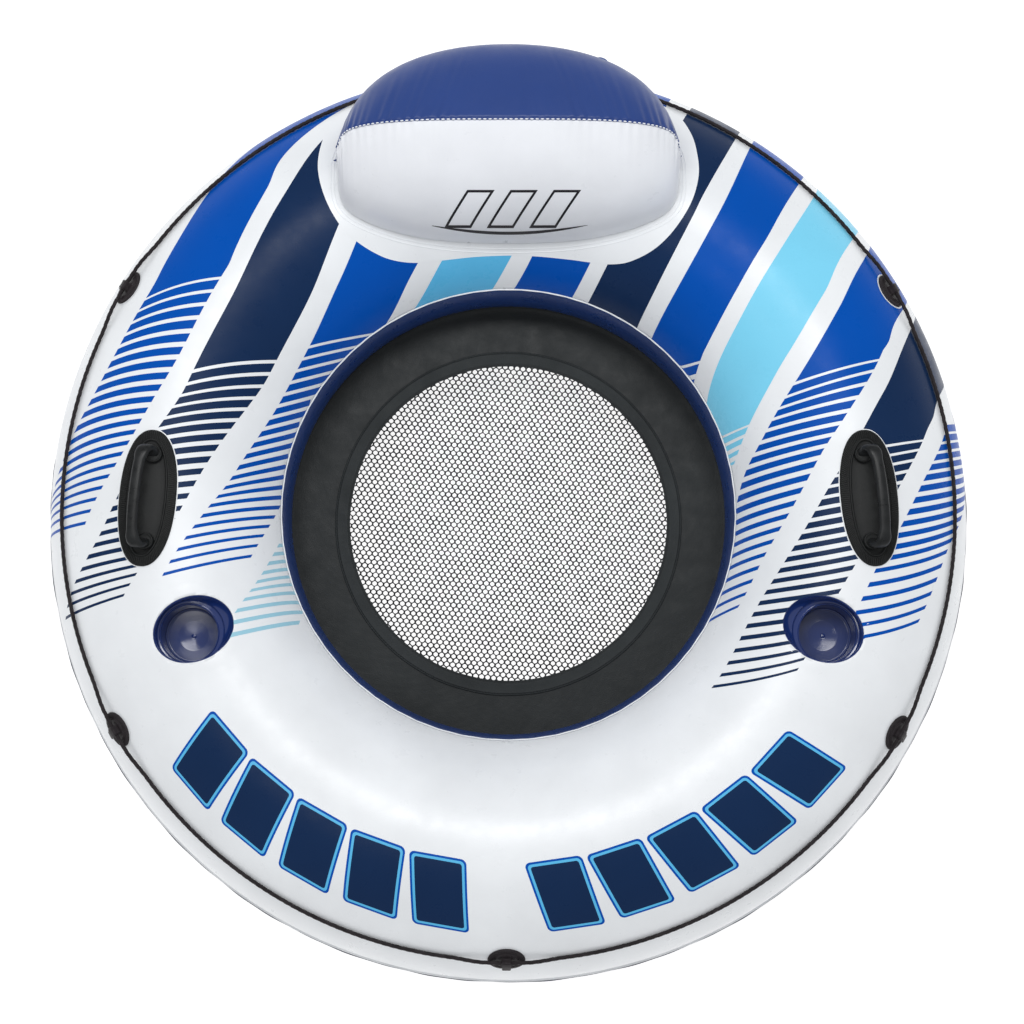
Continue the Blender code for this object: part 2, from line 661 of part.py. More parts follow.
def panel(name, place, first, last, colour, inward):
    """A vinyl panel: a grid of points given by a function, as a sheet with its thickness inside."""
    work = bmesh.new()
    columns = []
    for i in range(PILLOW_STEPS + 1):
        share = i / PILLOW_STEPS
        angle = PANEL_END + (math.pi - 2 * PANEL_END) * share
        columns.append([work.verts.new(place(angle, first + (last - first) * j / PILLOW_ROWS))
                        for j in range(PILLOW_ROWS + 1)])
    for left, right in zip(columns, columns[1:]):
        for j in range(PILLOW_ROWS):
            corners = (left[j], right[j], right[j + 1], left[j + 1])
            work.faces.new(corners if inward else tuple(reversed(corners)))
    mesh = bpy.data.meshes.new(name)
    work.to_mesh(mesh)
    work.free()
    obj = add_part(name, mesh, colour, 0.35)
    sheet = obj.modifiers.new("sheet", "SOLIDIFY")
    sheet.thickness = SKIN
    sheet.offset = -1.0
    return obj


def make_pillow():
    panel("pillow_front_panel", front_point, 0.0, 1.0, (0.80, 0.83, 0.86), False)
    back = panel("pillow_back_panel", back_point, -BACK_TUCK, RIDGE_ANGLE, (0.035, 0.08, 0.27), True)
    hole = add_cutter("pillow_valve_hole", cylinder("hole", VALVE_SLEEVE_RADIUS + GAP, -0.02, 0.02, 24))
    hole.matrix_world = pillow_valve_place()
    boolean(back, hole)


# ---------------------------------------------------------------- valves

def frame_at(point, outward, sideways):
    """A frame with Z outward from a skin and X as near as it can be to a given direction."""
    z = outward.normalized()
    y = z.cross(sideways).normalized()
    x = y.cross(z)
    place = Matrix((x, y, z)).transposed().to_4x4()
    place.translation = point
    return place


def ring_valve_place():
    point = on_ring(RING_VALVE_TURN, RING_VALVE_LIFT, WELD_GAP)
    outward = point - on_ring(RING_VALVE_TURN, RING_VALVE_LIFT, -0.05)
    along = Vector((-math.sin(RING_VALVE_TURN), math.cos(RING_VALVE_TURN), 0))
    return frame_at(point, outward, along)


def pillow_valve_place():
    across, up, small = PILLOW_VALVE_ACROSS, PILLOW_VALVE_UP, 0.01
    point = back_point(across, up)
    along = back_point(across + small, up) - back_point(across - small, up)
    rising = back_point(across, up + small) - back_point(across, up - small)
    outward = rising.cross(along)
    if outward.y < 0:
        outward = -outward
    return frame_at(point + outward.normalized() * 2 * WELD_GAP, outward, -along)


def valve_levels():
    """Heights along a valve's axis from the skin: base top, stem head, hinge axis, plug."""
    base_top = VALVE_FLANGE
    head_low = base_top + RUNNING_GAP
    head_top = head_low + STEM_HEAD
    cap_low = head_top + RUNNING_GAP
    return base_top, head_low, head_top, cap_low


def make_valve(label, place, colour):
    base_top, head_low, head_top, cap_low = valve_levels()
    bore = STEM_RADIUS + RUNNING_GAP
    base_profile = [(bore, base_top), (VALVE_FLANGE_RADIUS - 0.0008, base_top), (VALVE_FLANGE_RADIUS, 0.0),
                    (VALVE_SLEEVE_RADIUS, 0.0), (VALVE_SLEEVE_RADIUS, -VALVE_SLEEVE_LENGTH),
                    (bore, -VALVE_SLEEVE_LENGTH), (bore, base_top)]
    base = add_part(f"{label}_valve_base", closed_turned("base", base_profile), colour, 0.4)
    base.matrix_world = place

    hinge_height = (head_top + cap_low) / 2
    stem_profile = [(STEM_BORE, head_top), (STEM_HEAD_RADIUS, head_top), (STEM_HEAD_RADIUS, head_low),
                    (STEM_RADIUS, head_low), (STEM_RADIUS, head_low - STEM_LENGTH),
                    (STEM_BORE, head_low - STEM_LENGTH), (STEM_BORE, head_top)]
    stem = bpy.data.objects.new("stem", closed_turned("stem", stem_profile))
    parts.objects.link(stem)
    ear = add_cutter("ear", box("ear", (STEM_HEAD_RADIUS - 0.0022, -STRAP_WIDTH / 2, head_low + 0.0003),
                                (PLUG_HINGE_REACH, STRAP_WIDTH / 2, head_top - 0.0001)))
    bead = add_cutter("bead", cylinder("bead", HINGE_BEAD_RADIUS, -STRAP_WIDTH / 2, STRAP_WIDTH / 2, 12))
    bead.matrix_world = (Matrix.Translation((PLUG_HINGE_REACH, 0, hinge_height))
                         @ Matrix.Rotation(math.pi / 2, 4, "X"))
    boolean(stem, ear, "UNION")
    boolean(stem, bead, "UNION")
    stem_mesh = baked(stem)
    for helper in (ear, bead):
        bpy.data.objects.remove(helper, do_unlink=True)
    stem = add_part(f"{label}_valve_stem", stem_mesh, colour, 0.4)
    stem.matrix_world = place

    plug_profile = [(0.0, cap_low + PLUG_CAP), (PLUG_RADIUS - 0.0006, cap_low + PLUG_CAP),
                    (PLUG_RADIUS, cap_low + PLUG_CAP * 0.6), (PLUG_RADIUS, cap_low),
                    (PLUG_SPIGOT_RADIUS, cap_low), (PLUG_SPIGOT_RADIUS * 0.85, cap_low - PLUG_SPIGOT_LENGTH),
                    (0.0, cap_low - PLUG_SPIGOT_LENGTH)]
    plug = bpy.data.objects.new("plug", closed_turned("plug", plug_profile))
    parts.objects.link(plug)
    strap_end = PLUG_HINGE_REACH - HINGE_BEAD_RADIUS - RUNNING_GAP
    strap = add_cutter("strap", box("strap", (PLUG_RADIUS - 0.002, -STRAP_WIDTH / 2, cap_low + 0.0002),
                                    (strap_end, STRAP_WIDTH / 2, cap_low + 0.0013)))
    boolean(plug, strap, "UNION")
    plug_mesh = baked(plug)
    bpy.data.objects.remove(strap, do_unlink=True)
    hinge = Vector((PLUG_HINGE_REACH, 0, hinge_height))
    plug_mesh.transform(Matrix.Translation(-hinge))
    plug = add_part(f"{label}_valve_plug", plug_mesh, colour, 0.4)
    plug.matrix_world = place @ Matrix.Translation(hinge)


def make_valves():
    make_valve("ring", ring_valve_place(), (0.75, 0.78, 0.80))
    make_valve("pillow", pillow_valve_place(), (0.04, 0.09, 0.28))


clear_scene()
parts = make_collection("river_tube")
cutters = make_collection("cutters")
make_ring()
make_floor()
make_cup(1)
make_cup(-1)
make_handles()
make_rope()
make_retainers()
make_pillow()
make_valves()
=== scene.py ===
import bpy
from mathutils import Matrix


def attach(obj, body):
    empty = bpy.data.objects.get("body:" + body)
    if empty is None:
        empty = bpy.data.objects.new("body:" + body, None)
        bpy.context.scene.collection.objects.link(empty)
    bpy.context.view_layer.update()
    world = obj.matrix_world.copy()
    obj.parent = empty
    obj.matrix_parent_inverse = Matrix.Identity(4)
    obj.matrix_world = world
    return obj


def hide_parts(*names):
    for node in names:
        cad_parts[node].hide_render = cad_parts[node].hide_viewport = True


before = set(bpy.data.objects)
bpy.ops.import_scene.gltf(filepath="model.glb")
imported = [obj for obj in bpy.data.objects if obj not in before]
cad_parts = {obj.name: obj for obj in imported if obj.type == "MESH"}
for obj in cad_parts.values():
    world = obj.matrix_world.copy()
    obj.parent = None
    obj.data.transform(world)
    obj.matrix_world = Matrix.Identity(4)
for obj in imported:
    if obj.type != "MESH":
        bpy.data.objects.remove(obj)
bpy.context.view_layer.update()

import math
import random

import bpy
import bmesh
import numpy as np
from mathutils import Matrix, Vector
from mathutils.bvhtree import BVHTree

scene = bpy.context.scene

# the ring everything else is welded to, in metres and degrees
ring = {
    "radius": 0.4965,            # axis to the middle of the air tube
    "tube": 0.1755,              # radius of the air tube
    "height": 0.169,             # of the tube's middle
    "sheet": 0.001,
    "upperSeam": 161.3,          # lift of the inner wall's upper seam
    "lowerSeam": 202.0,
    "restLift": -74.36,          # where the tube leaves the ground
    "aroundSteps": 560,
    "acrossSteps": 96,
    "lip": 0.0032,               # weld flange round the outside
    "lowerLip": 0.0009,          # the lower skin's flange shows this much past the upper's
    "lipWave": 0.0006,
}

rope = {
    "lift": 37.4,
    "radius": 0.0028,
    "low": 0.0034,               # height of its middle over the bare skin
    "high": 0.0071,              # and inside a retainer
    "steps": 3600,
    "sides": 14,
    "plaits": 5,                 # strands that cross round the rope
    "plaitLength": 0.0115,
    "lump": 0.00055,
}

retainer = {
    "count": 6,
    "firstTurn": -90.25,
    "length": 0.053,
    "width": 0.0465,
    "plate": 0.0022,
    "ribs": 66,
    "ribHeight": 0.0007,
    "blockLength": 0.0130,
    "blockHalf": 0.0059,
    "bandWidth": 0.0125,         # the clasp's band, from inside the rope out to the pull tab
    "bandStart": 0.0140,
    "tabLength": 0.006,
    "sides": 48,
}


def tint(red, green, blue):
    return tuple(((c + 0.055) / 1.055) ** 2.4 if c > 0.04045 else c / 12.92 for c in (red, green, blue))


def smoothStep(value):
    value = np.clip(value, 0.0, 1.0)
    return value * value * (3 - 2 * value)


def signedPower(value, power):
    return np.sign(value) * np.abs(value) ** power


# ---- finishes

def startFinish(name, colour, roughness, coat=0.0, coatRoughness=0.1, sheen=0.0, specular=0.5):
    finish = bpy.data.materials.new(name)
    finish.use_nodes = True
    shader = finish.node_tree.nodes["Principled BSDF"]
    shader.inputs["Base Color"].default_value = (*colour, 1)
    shader.inputs["Roughness"].default_value = roughness
    shader.inputs["Coat Weight"].default_value = coat
    shader.inputs["Coat Roughness"].default_value = coatRoughness
    shader.inputs["Sheen Weight"].default_value = sheen
    shader.inputs["Specular IOR Level"].default_value = specular
    return finish, finish.node_tree.nodes, finish.node_tree.links, shader


def objectSpot(nodes):
    return nodes.new("ShaderNodeTexCoord").outputs["Object"]


def addNoise(nodes, links, where, scale, detail=3.0, rough=0.55):
    noise = nodes.new("ShaderNodeTexNoise")
    noise.inputs["Scale"].default_value = scale
    noise.inputs["Detail"].default_value = detail
    noise.inputs["Roughness"].default_value = rough
    links.new(where, noise.inputs["Vector"])
    return noise.outputs["Fac"]


def addRamp(nodes, links, value, stops):
    ramp = nodes.new("ShaderNodeValToRGB")
    while len(ramp.color_ramp.elements) < len(stops):
        ramp.color_ramp.elements.new(0.5)
    for element, (place, colour) in zip(ramp.color_ramp.elements, stops):
        element.position = place
        element.color = (*colour, 1)
    links.new(value, ramp.inputs["Fac"])
    return ramp.outputs["Color"]


def addRange(nodes, links, value, low, high, fromLow=0.0, fromHigh=1.0):
    reach = nodes.new("ShaderNodeMapRange")
    for name, number in (("From Min", fromLow), ("From Max", fromHigh), ("To Min", low), ("To Max", high)):
        reach.inputs[name].default_value = number
    links.new(value, reach.inputs["Value"])
    return reach.outputs["Result"]


def addBump(nodes, links, shader, heights, normal=None):
    for value, strength, distance in heights:
        bump = nodes.new("ShaderNodeBump")
        bump.inputs["Strength"].default_value = strength
        bump.inputs["Distance"].default_value = distance
        links.new(value, bump.inputs["Height"])
        if normal is not None:
            links.new(normal, bump.inputs["Normal"])
        normal = bump.outputs["Normal"]
    links.new(normal, shader.inputs["Normal"])


def vinylFinish(name, colour, roughness=0.36, grain=0.08, mottle=0.05, wear=0.0, specular=0.4, ior=1.5):
    # calendered vinyl: a fine pressed grain, faint cloudiness and handling marks in the gloss
    finish, nodes, links, shader = startFinish(name, colour, roughness, specular=specular)
    shader.inputs["IOR"].default_value = ior
    where = objectSpot(nodes)
    cloud = addNoise(nodes, links, where, 7.0, 4.0)
    light = tuple(min(1.0, c * (1 + mottle)) for c in colour)
    dark = tuple(c * (1 - mottle) for c in colour)
    links.new(addRamp(nodes, links, cloud, [(0.3, dark), (0.7, light)]), shader.inputs["Base Color"])
    rub = addNoise(nodes, links, where, 38.0, 5.0, 0.65)
    links.new(addRange(nodes, links, rub, roughness - 0.06, roughness + 0.09 + wear, 0.3, 0.7),
              shader.inputs["Roughness"])
    fine = nodes.new("ShaderNodeTexVoronoi")
    fine.inputs["Scale"].default_value = 620.0
    links.new(where, fine.inputs["Vector"])
    sag = addNoise(nodes, links, where, 22.0, 2.0)
    addBump(nodes, links, shader, [(sag, 0.12, 0.0035), (fine.outputs["Distance"], grain, 0.0006)])
    return finish


def rubberFinish(name, colour, roughness=0.5, grain=0.35, size=900.0):
    # moulded rubber: a sandy grain, paler where it has been rubbed
    finish, nodes, links, shader = startFinish(name, colour, roughness, specular=0.2)
    where = objectSpot(nodes)
    cloud = addNoise(nodes, links, where, 60.0, 5.0, 0.6)
    pale = tuple(c * 1.5 + 0.004 for c in colour)
    links.new(addRamp(nodes, links, cloud, [(0.36, colour), (0.72, pale)]), shader.inputs["Base Color"])
    links.new(addRange(nodes, links, cloud, roughness - 0.07, roughness + 0.1, 0.3, 0.7),
              shader.inputs["Roughness"])
    addBump(nodes, links, shader, [(addNoise(nodes, links, where, size, 3.0, 0.7), grain, 0.0008)])
    return finish


def threadFinish(name, colour, sheen=0.08):
    # twisted yarn: fine ribs along the strand and a soft nap
    finish, nodes, links, shader = startFinish(name, colour, 0.72, sheen=sheen, specular=0.2)
    where = objectSpot(nodes)
    fibres = addNoise(nodes, links, where, 1600.0, 2.0, 0.7)
    cloud = addNoise(nodes, links, where, 90.0, 4.0)
    pale = tuple(c * 1.8 + 0.006 for c in colour)
    links.new(addRamp(nodes, links, cloud, [(0.35, colour), (0.75, pale)]), shader.inputs["Base Color"])
    addBump(nodes, links, shader, [(fibres, 0.5, 0.0005)])
    return finish


inks = {
    "white": tint(0.915, 0.927, 0.939),
    "royal": tint(0.0, 0.305, 0.675),
    "navy": tint(0.07, 0.165, 0.305),
    "light": tint(0.36, 0.725, 0.905),
    "sky": tint(0.49, 0.82, 0.94),
    "pale": tint(0.60, 0.79, 0.86),
}

finishes = {
    "skin": vinylFinish("whiteVinyl", inks["white"], 0.31),
    "royal": vinylFinish("royalInk", inks["royal"], 0.3, mottle=0.04, specular=0.3, ior=1.22),
    "navy": vinylFinish("navyInk", inks["navy"], 0.3, mottle=0.06, specular=0.3, ior=1.25),
    "light": vinylFinish("lightBlueInk", inks["light"], 0.28, mottle=0.03, specular=0.4, ior=1.28),
    "sky": vinylFinish("skyBlueInk", inks["sky"], 0.28, mottle=0.03, specular=0.4, ior=1.28),
    "pale": vinylFinish("paleBlueInk", inks["pale"], 0.28, mottle=0.03, specular=0.4, ior=1.28),
    "wall": vinylFinish("royalWallVinyl", tint(0.07, 0.195, 0.42), 0.3, mottle=0.08, specular=0.2),
    "underside": vinylFinish("navyUndersideVinyl", tint(0.10, 0.14, 0.27), 0.42, mottle=0.12, wear=0.08),
    "collar": vinylFinish("blackCollarVinyl", tint(0.15, 0.163, 0.168), 0.42, grain=0.2, mottle=0.14,
                          specular=0.14),
    "tape": vinylFinish("blackTape", tint(0.175, 0.19, 0.195), 0.55, grain=0.4, mottle=0.2, specular=0.16),
    "net": threadFinish("netYarn", tint(0.115, 0.115, 0.125)),
    "stitch": threadFinish("stitchThread", tint(0.10, 0.105, 0.11)),
    "rope": threadFinish("braidedRope", tint(0.115, 0.098, 0.108)),
    "cup": vinylFinish("cupVinyl", tint(0.11, 0.195, 0.43), 0.13, grain=0.02, mottle=0.1, specular=0.6),
    "handle": rubberFinish("handleRubber", tint(0.09, 0.096, 0.097), 0.42),
    "grip": rubberFinish("gripRubber", tint(0.10, 0.106, 0.11), 0.3, 0.15),
    "retainer": rubberFinish("retainerRubber", tint(0.13, 0.112, 0.124), 0.46),
    "pillowWhite": vinylFinish("pillowWhiteVinyl", tint(0.915, 0.925, 0.945), 0.32),
    "pillowBlue": vinylFinish("pillowBlueVinyl", tint(0.165, 0.26, 0.50), 0.34, mottle=0.05, specular=0.22),
    "valve": vinylFinish("clearWhiteValve", tint(0.87, 0.885, 0.9), 0.3, grain=0.04, mottle=0.03),
    "valveBlue": vinylFinish("blueValve", tint(0.2, 0.31, 0.55), 0.3, grain=0.04),
    "motif": vinylFinish("blackInk", tint(0.11, 0.10, 0.125), 0.35, specular=0.2),
}
print("finishes ready")


# ---- mesh making

def gridMesh(name, points, loopRows=False, loopCols=False):
    rows, cols = points.shape[:2]
    index = np.arange(rows * cols).reshape(rows, cols)
    i = np.arange(rows if loopRows else rows - 1)
    j = np.arange(cols if loopCols else cols - 1)
    nextI, nextJ = (i + 1) % rows, (j + 1) % cols
    corners = [index[i][:, j], index[nextI][:, j], index[nextI][:, nextJ], index[i][:, nextJ]]
    faces = np.stack(corners, axis=-1)
    return meshOf(name, points.reshape(-1, 3), faces.reshape(-1, 4))


def meshOf(name, points, faces):
    mesh = bpy.data.meshes.new(name)
    mesh.from_pydata(np.asarray(points).tolist(), [], [list(map(int, face)) for face in faces])
    mesh.update()
    return mesh


def joinMeshes(name, meshes):
    work = bmesh.new()
    for mesh in meshes:
        work.from_mesh(mesh)
        bpy.data.meshes.remove(mesh)
    joined = bpy.data.meshes.new(name)
    work.to_mesh(joined)
    work.free()
    return joined


def faceOut(mesh):
    work = bmesh.new()
    work.from_mesh(mesh)
    bmesh.ops.recalc_face_normals(work, faces=work.faces)
    work.to_mesh(mesh)
    work.free()
    return mesh


def capped(mesh, sides, both=True):
    # closes the first end of a lofted grid, and the last one too unless told not to
    work = bmesh.new()
    work.from_mesh(mesh)
    work.verts.ensure_lookup_table()
    total = len(work.verts)
    work.faces.new([work.verts[k] for k in range(sides)])
    if both:
        work.faces.new([work.verts[total - 1 - k] for k in range(sides)])
    work.to_mesh(mesh)
    work.free()
    return mesh


def addPiece(name, mesh, finish, slot, *nodes, body="tube", thick=0.0, side=-1.0, sharp=40):
    piece = bpy.data.objects.new(name, mesh)
    scene.collection.objects.link(piece)
    mesh.materials.append(finishes[finish])
    mesh.shade_smooth()
    mesh.set_sharp_from_angle(angle=math.radians(sharp))
    if thick:
        sheet = piece.modifiers.new("sheet", "SOLIDIFY")
        sheet.thickness = thick
        sheet.offset = side
    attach(piece, body)
    if nodes:
        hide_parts(*nodes)
    return piece


def tubeAlong(path, radius, sides=8, closed=False):
    # a round strand along a path, its frame carried without twist
    path = np.asarray(path, float)
    ahead = np.roll(path, -1, axis=0) - np.roll(path, 1, axis=0)
    if not closed:
        ahead[0], ahead[-1] = path[1] - path[0], path[-1] - path[-2]
    ahead /= np.linalg.norm(ahead, axis=1, keepdims=True)
    across = np.cross(ahead[0], (0.31, 0.17, 0.94))
    across /= np.linalg.norm(across)
    sideways = []
    for direction in ahead:
        across = across - direction * (across @ direction)
        across /= np.linalg.norm(across)
        sideways.append(across)
    sideways = np.array(sideways)
    upward = np.cross(ahead, sideways)
    angle = np.linspace(0, 2 * math.pi, sides, endpoint=False)
    reach = np.asarray(radius, float)
    if reach.ndim < 2:
        reach = np.broadcast_to(reach, (len(path),))[:, None]
    ringPoints = (path[:, None, :] + (sideways[:, None, :] * np.cos(angle)[None, :, None]
                                      + upward[:, None, :] * np.sin(angle)[None, :, None]) * reach[..., None])
    mesh = gridMesh("strand", ringPoints, loopRows=closed, loopCols=True)
    return faceOut(mesh if closed else capped(mesh, sides))


# ---- the ring's surface

def onRing(turn, lift, above=0.0):
    reach = ring["tube"] + above
    radius = ring["radius"] + reach * np.cos(lift)
    turn, radius, height = np.broadcast_arrays(turn, radius, ring["height"] + reach * np.sin(lift))
    return np.stack([radius * np.cos(turn), radius * np.sin(turn), height], axis=-1)


def onRingDegrees(turn, lift, above=0.0):
    return onRing(np.radians(turn), np.radians(lift), above)


cup = {
    "turn": 22.1,                # in front of the X axis
    "fromAxis": 0.485,
    "rimAcross": 0.0566,
    "rimAlong": 0.0455,
    "rimInward": 0.010,
    "wall": 0.0012,
    "stepDepth": 0.034,
    "stepRadius": 0.0455,
    "bodyRadius": 0.0408,
    "floorRadius": 0.0385,
    "depth": 0.086,
    "flange": 0.0100,
    "floorStep": 0.0210,         # radius of the shallow bowl moulded in the floor
    "bowl": 0.0019,
    "sides": 144,
    "ripple": 0.00042,
}


def cupAngle(side):
    return -math.radians(cup["turn"]) if side > 0 else math.pi + math.radians(cup["turn"])


def inCup(x, y, side):
    # a point's place in the cup's own plan: outward from the ring's axis, and along the ring
    turn = cupAngle(side)
    outward = x * math.cos(turn) + y * math.sin(turn) - (cup["fromAxis"] - cup["rimInward"])
    along = -x * math.sin(turn) + y * math.cos(turn)
    return outward, along


def ripple(x, y):
    # the cup's flange under the skin shows as a faint raised ring
    rise = np.zeros(np.broadcast(x, y).shape)
    for side in (1, -1):
        outward, along = inCup(x, y, side)
        span = np.hypot(outward / cup["rimAcross"], along / cup["rimAlong"])
        gap = (span - 1) * cup["rimAlong"]
        rise = rise + cup["ripple"] * np.exp(-((gap - cup["flange"]) / 0.0028) ** 2)
        rise = rise + cup["ripple"] * 0.8 * np.exp(-((gap - 0.002) / 0.004) ** 2)
    return rise


def overSkin(x, y, above=0.0):
    aside = np.hypot(x, y) - ring["radius"]
    reach = ring["tube"] + above + ripple(x, y)
    return np.stack([x, y, ring["height"] + np.sqrt(np.maximum(reach ** 2 - aside ** 2, 0))], axis=-1)


def clearOfCups(points, above, margin=0.0006):
    # pushes points out of the cup holes and says which were inside
    x, y = points[..., 0], points[..., 1]
    inside = np.zeros(x.shape, bool)
    for side in (1, -1):
        outward, along = inCup(x, y, side)
        span = np.hypot(outward / (cup["rimAcross"] + margin), along / (cup["rimAlong"] + margin))
        near = (span < 1) & (points[..., 2] > ring["height"])
        grow = np.where(near, 1 / np.maximum(span, 0.05), 1.0)
        turn = cupAngle(side)
        outward, along = outward * grow + cup["fromAxis"] - cup["rimInward"], along * grow
        x = np.where(near, outward * math.cos(turn) - along * math.sin(turn), x)
        y = np.where(near, outward * math.sin(turn) + along * math.cos(turn), y)
        inside |= near
    moved = overSkin(x, y, above)
    return np.where(inside[..., None], moved, points), inside


def dropFaces(mesh, hidden):
    # removes the faces whose corners are all hidden, and what they leave loose
    hidden = hidden.reshape(-1)
    work = bmesh.new()
    work.from_mesh(mesh)
    gone = [face for face in work.faces if all(hidden[vert.index] for vert in face.verts)]
    bmesh.ops.delete(work, geom=gone, context="FACES")
    bmesh.ops.dissolve_degenerate(work, dist=1e-5, edges=work.edges)
    bmesh.ops.delete(work, geom=[vert for vert in work.verts if not vert.link_faces], context="VERTS")
    work.to_mesh(mesh)
    work.free()
    return mesh


def makeRing():
    turn = np.linspace(0, 2 * math.pi, ring["aroundSteps"], endpoint=False)
    lift = np.radians(np.linspace(ring["upperSeam"], 0.8, ring["acrossSteps"]))
    points = onRing(turn[:, None], lift[None, :])
    points = onRing(turn[:, None], lift[None, :], ripple(points[..., 0], points[..., 1]))
    points, inside = clearOfCups(points, 0.0)
    topWave = ring["lipWave"] * (np.sin(turn * 37) + 0.6 * np.sin(turn * 83 + 1.3))
    lip = []
    outer = ring["radius"] + ring["tube"]
    for out, drop in ((0.0006, 0.0022), (ring["lip"], 0.0014)):
        lip.append(np.stack([(outer + out) * np.cos(turn), (outer + out) * np.sin(turn),
                             ring["height"] + drop + topWave * out / ring["lip"]], axis=-1)[:, None, :])
    points = np.concatenate([points] + lip, axis=1)
    inside = np.concatenate([inside, np.zeros((len(turn), 2), bool)], axis=1)
    top = faceOut(dropFaces(gridMesh("ringTopSkin", points, loopRows=True), inside))
    addPiece("ringTopSkin", top, "skin", "printed_vinyl", "ring_top_skin", thick=ring["sheet"])

    wallLift = np.radians(np.linspace(ring["upperSeam"] + 0.12, ring["lowerSeam"] - 0.1, 26))
    wall = gridMesh("ringInnerWall", onRing(turn[:, None], wallLift[None, :]), loopRows=True)
    addPiece("ringInnerWall", faceOut(wall), "wall", "blue_vinyl", "ring_inner_wall", thick=ring["sheet"])

    rest = ring["restLift"]
    outerLift = np.radians(np.linspace(-0.8, rest, 46))
    innerLift = np.radians(np.linspace(-180 - rest, ring["lowerSeam"] - 360 + 0.2, 30))
    bottomPoints = np.concatenate([onRing(turn[:, None], outerLift[None, :]),
                                   onRing(turn[:, None], innerLift[None, :])], axis=1)
    lips = []
    lowerWave = ring["lowerLip"] * (1 + 0.45 * np.sin(turn * 29 + 0.8) + 0.3 * np.sin(turn * 71))
    for out, drop in ((ring["lip"] + lowerWave, -0.0009), (0.0006, -0.0022)):
        lips.append(np.stack([(outer + out) * np.cos(turn), (outer + out) * np.sin(turn),
                              ring["height"] + drop + topWave * out / ring["lip"]], axis=-1)[:, None, :])
    bottomPoints = np.concatenate(lips + [bottomPoints], axis=1)
    bottom = faceOut(gridMesh("ringBottomSkin", bottomPoints, loopRows=True))
    addPiece("ringBottomSkin", bottom, "underside", "navy_vinyl", "ring_bottom_skin", thick=ring["sheet"])

    # the pressed weld beads of the inner seams
    beads = (("upperSeamBead", ring["upperSeam"] + 0.35, "skin", "printed_vinyl", 0.0011),
             ("lowerSeamBead", ring["lowerSeam"] - 2.6, "collar", "black_vinyl", 0.0014))
    for name, seam, finish, slot, width in beads:
        path = onRing(turn, np.full(turn.shape, math.radians(seam)), 0.0003 + 0.0002 * np.sin(turn * 61))
        addPiece(name, tubeAlong(path, width, 10, closed=True), finish, slot)


makeRing()
print("ring skins ready")


# ---- the print: slanted bands that break into thin lines
# each row crosses a band: turn and lift of its left edge, then of its right

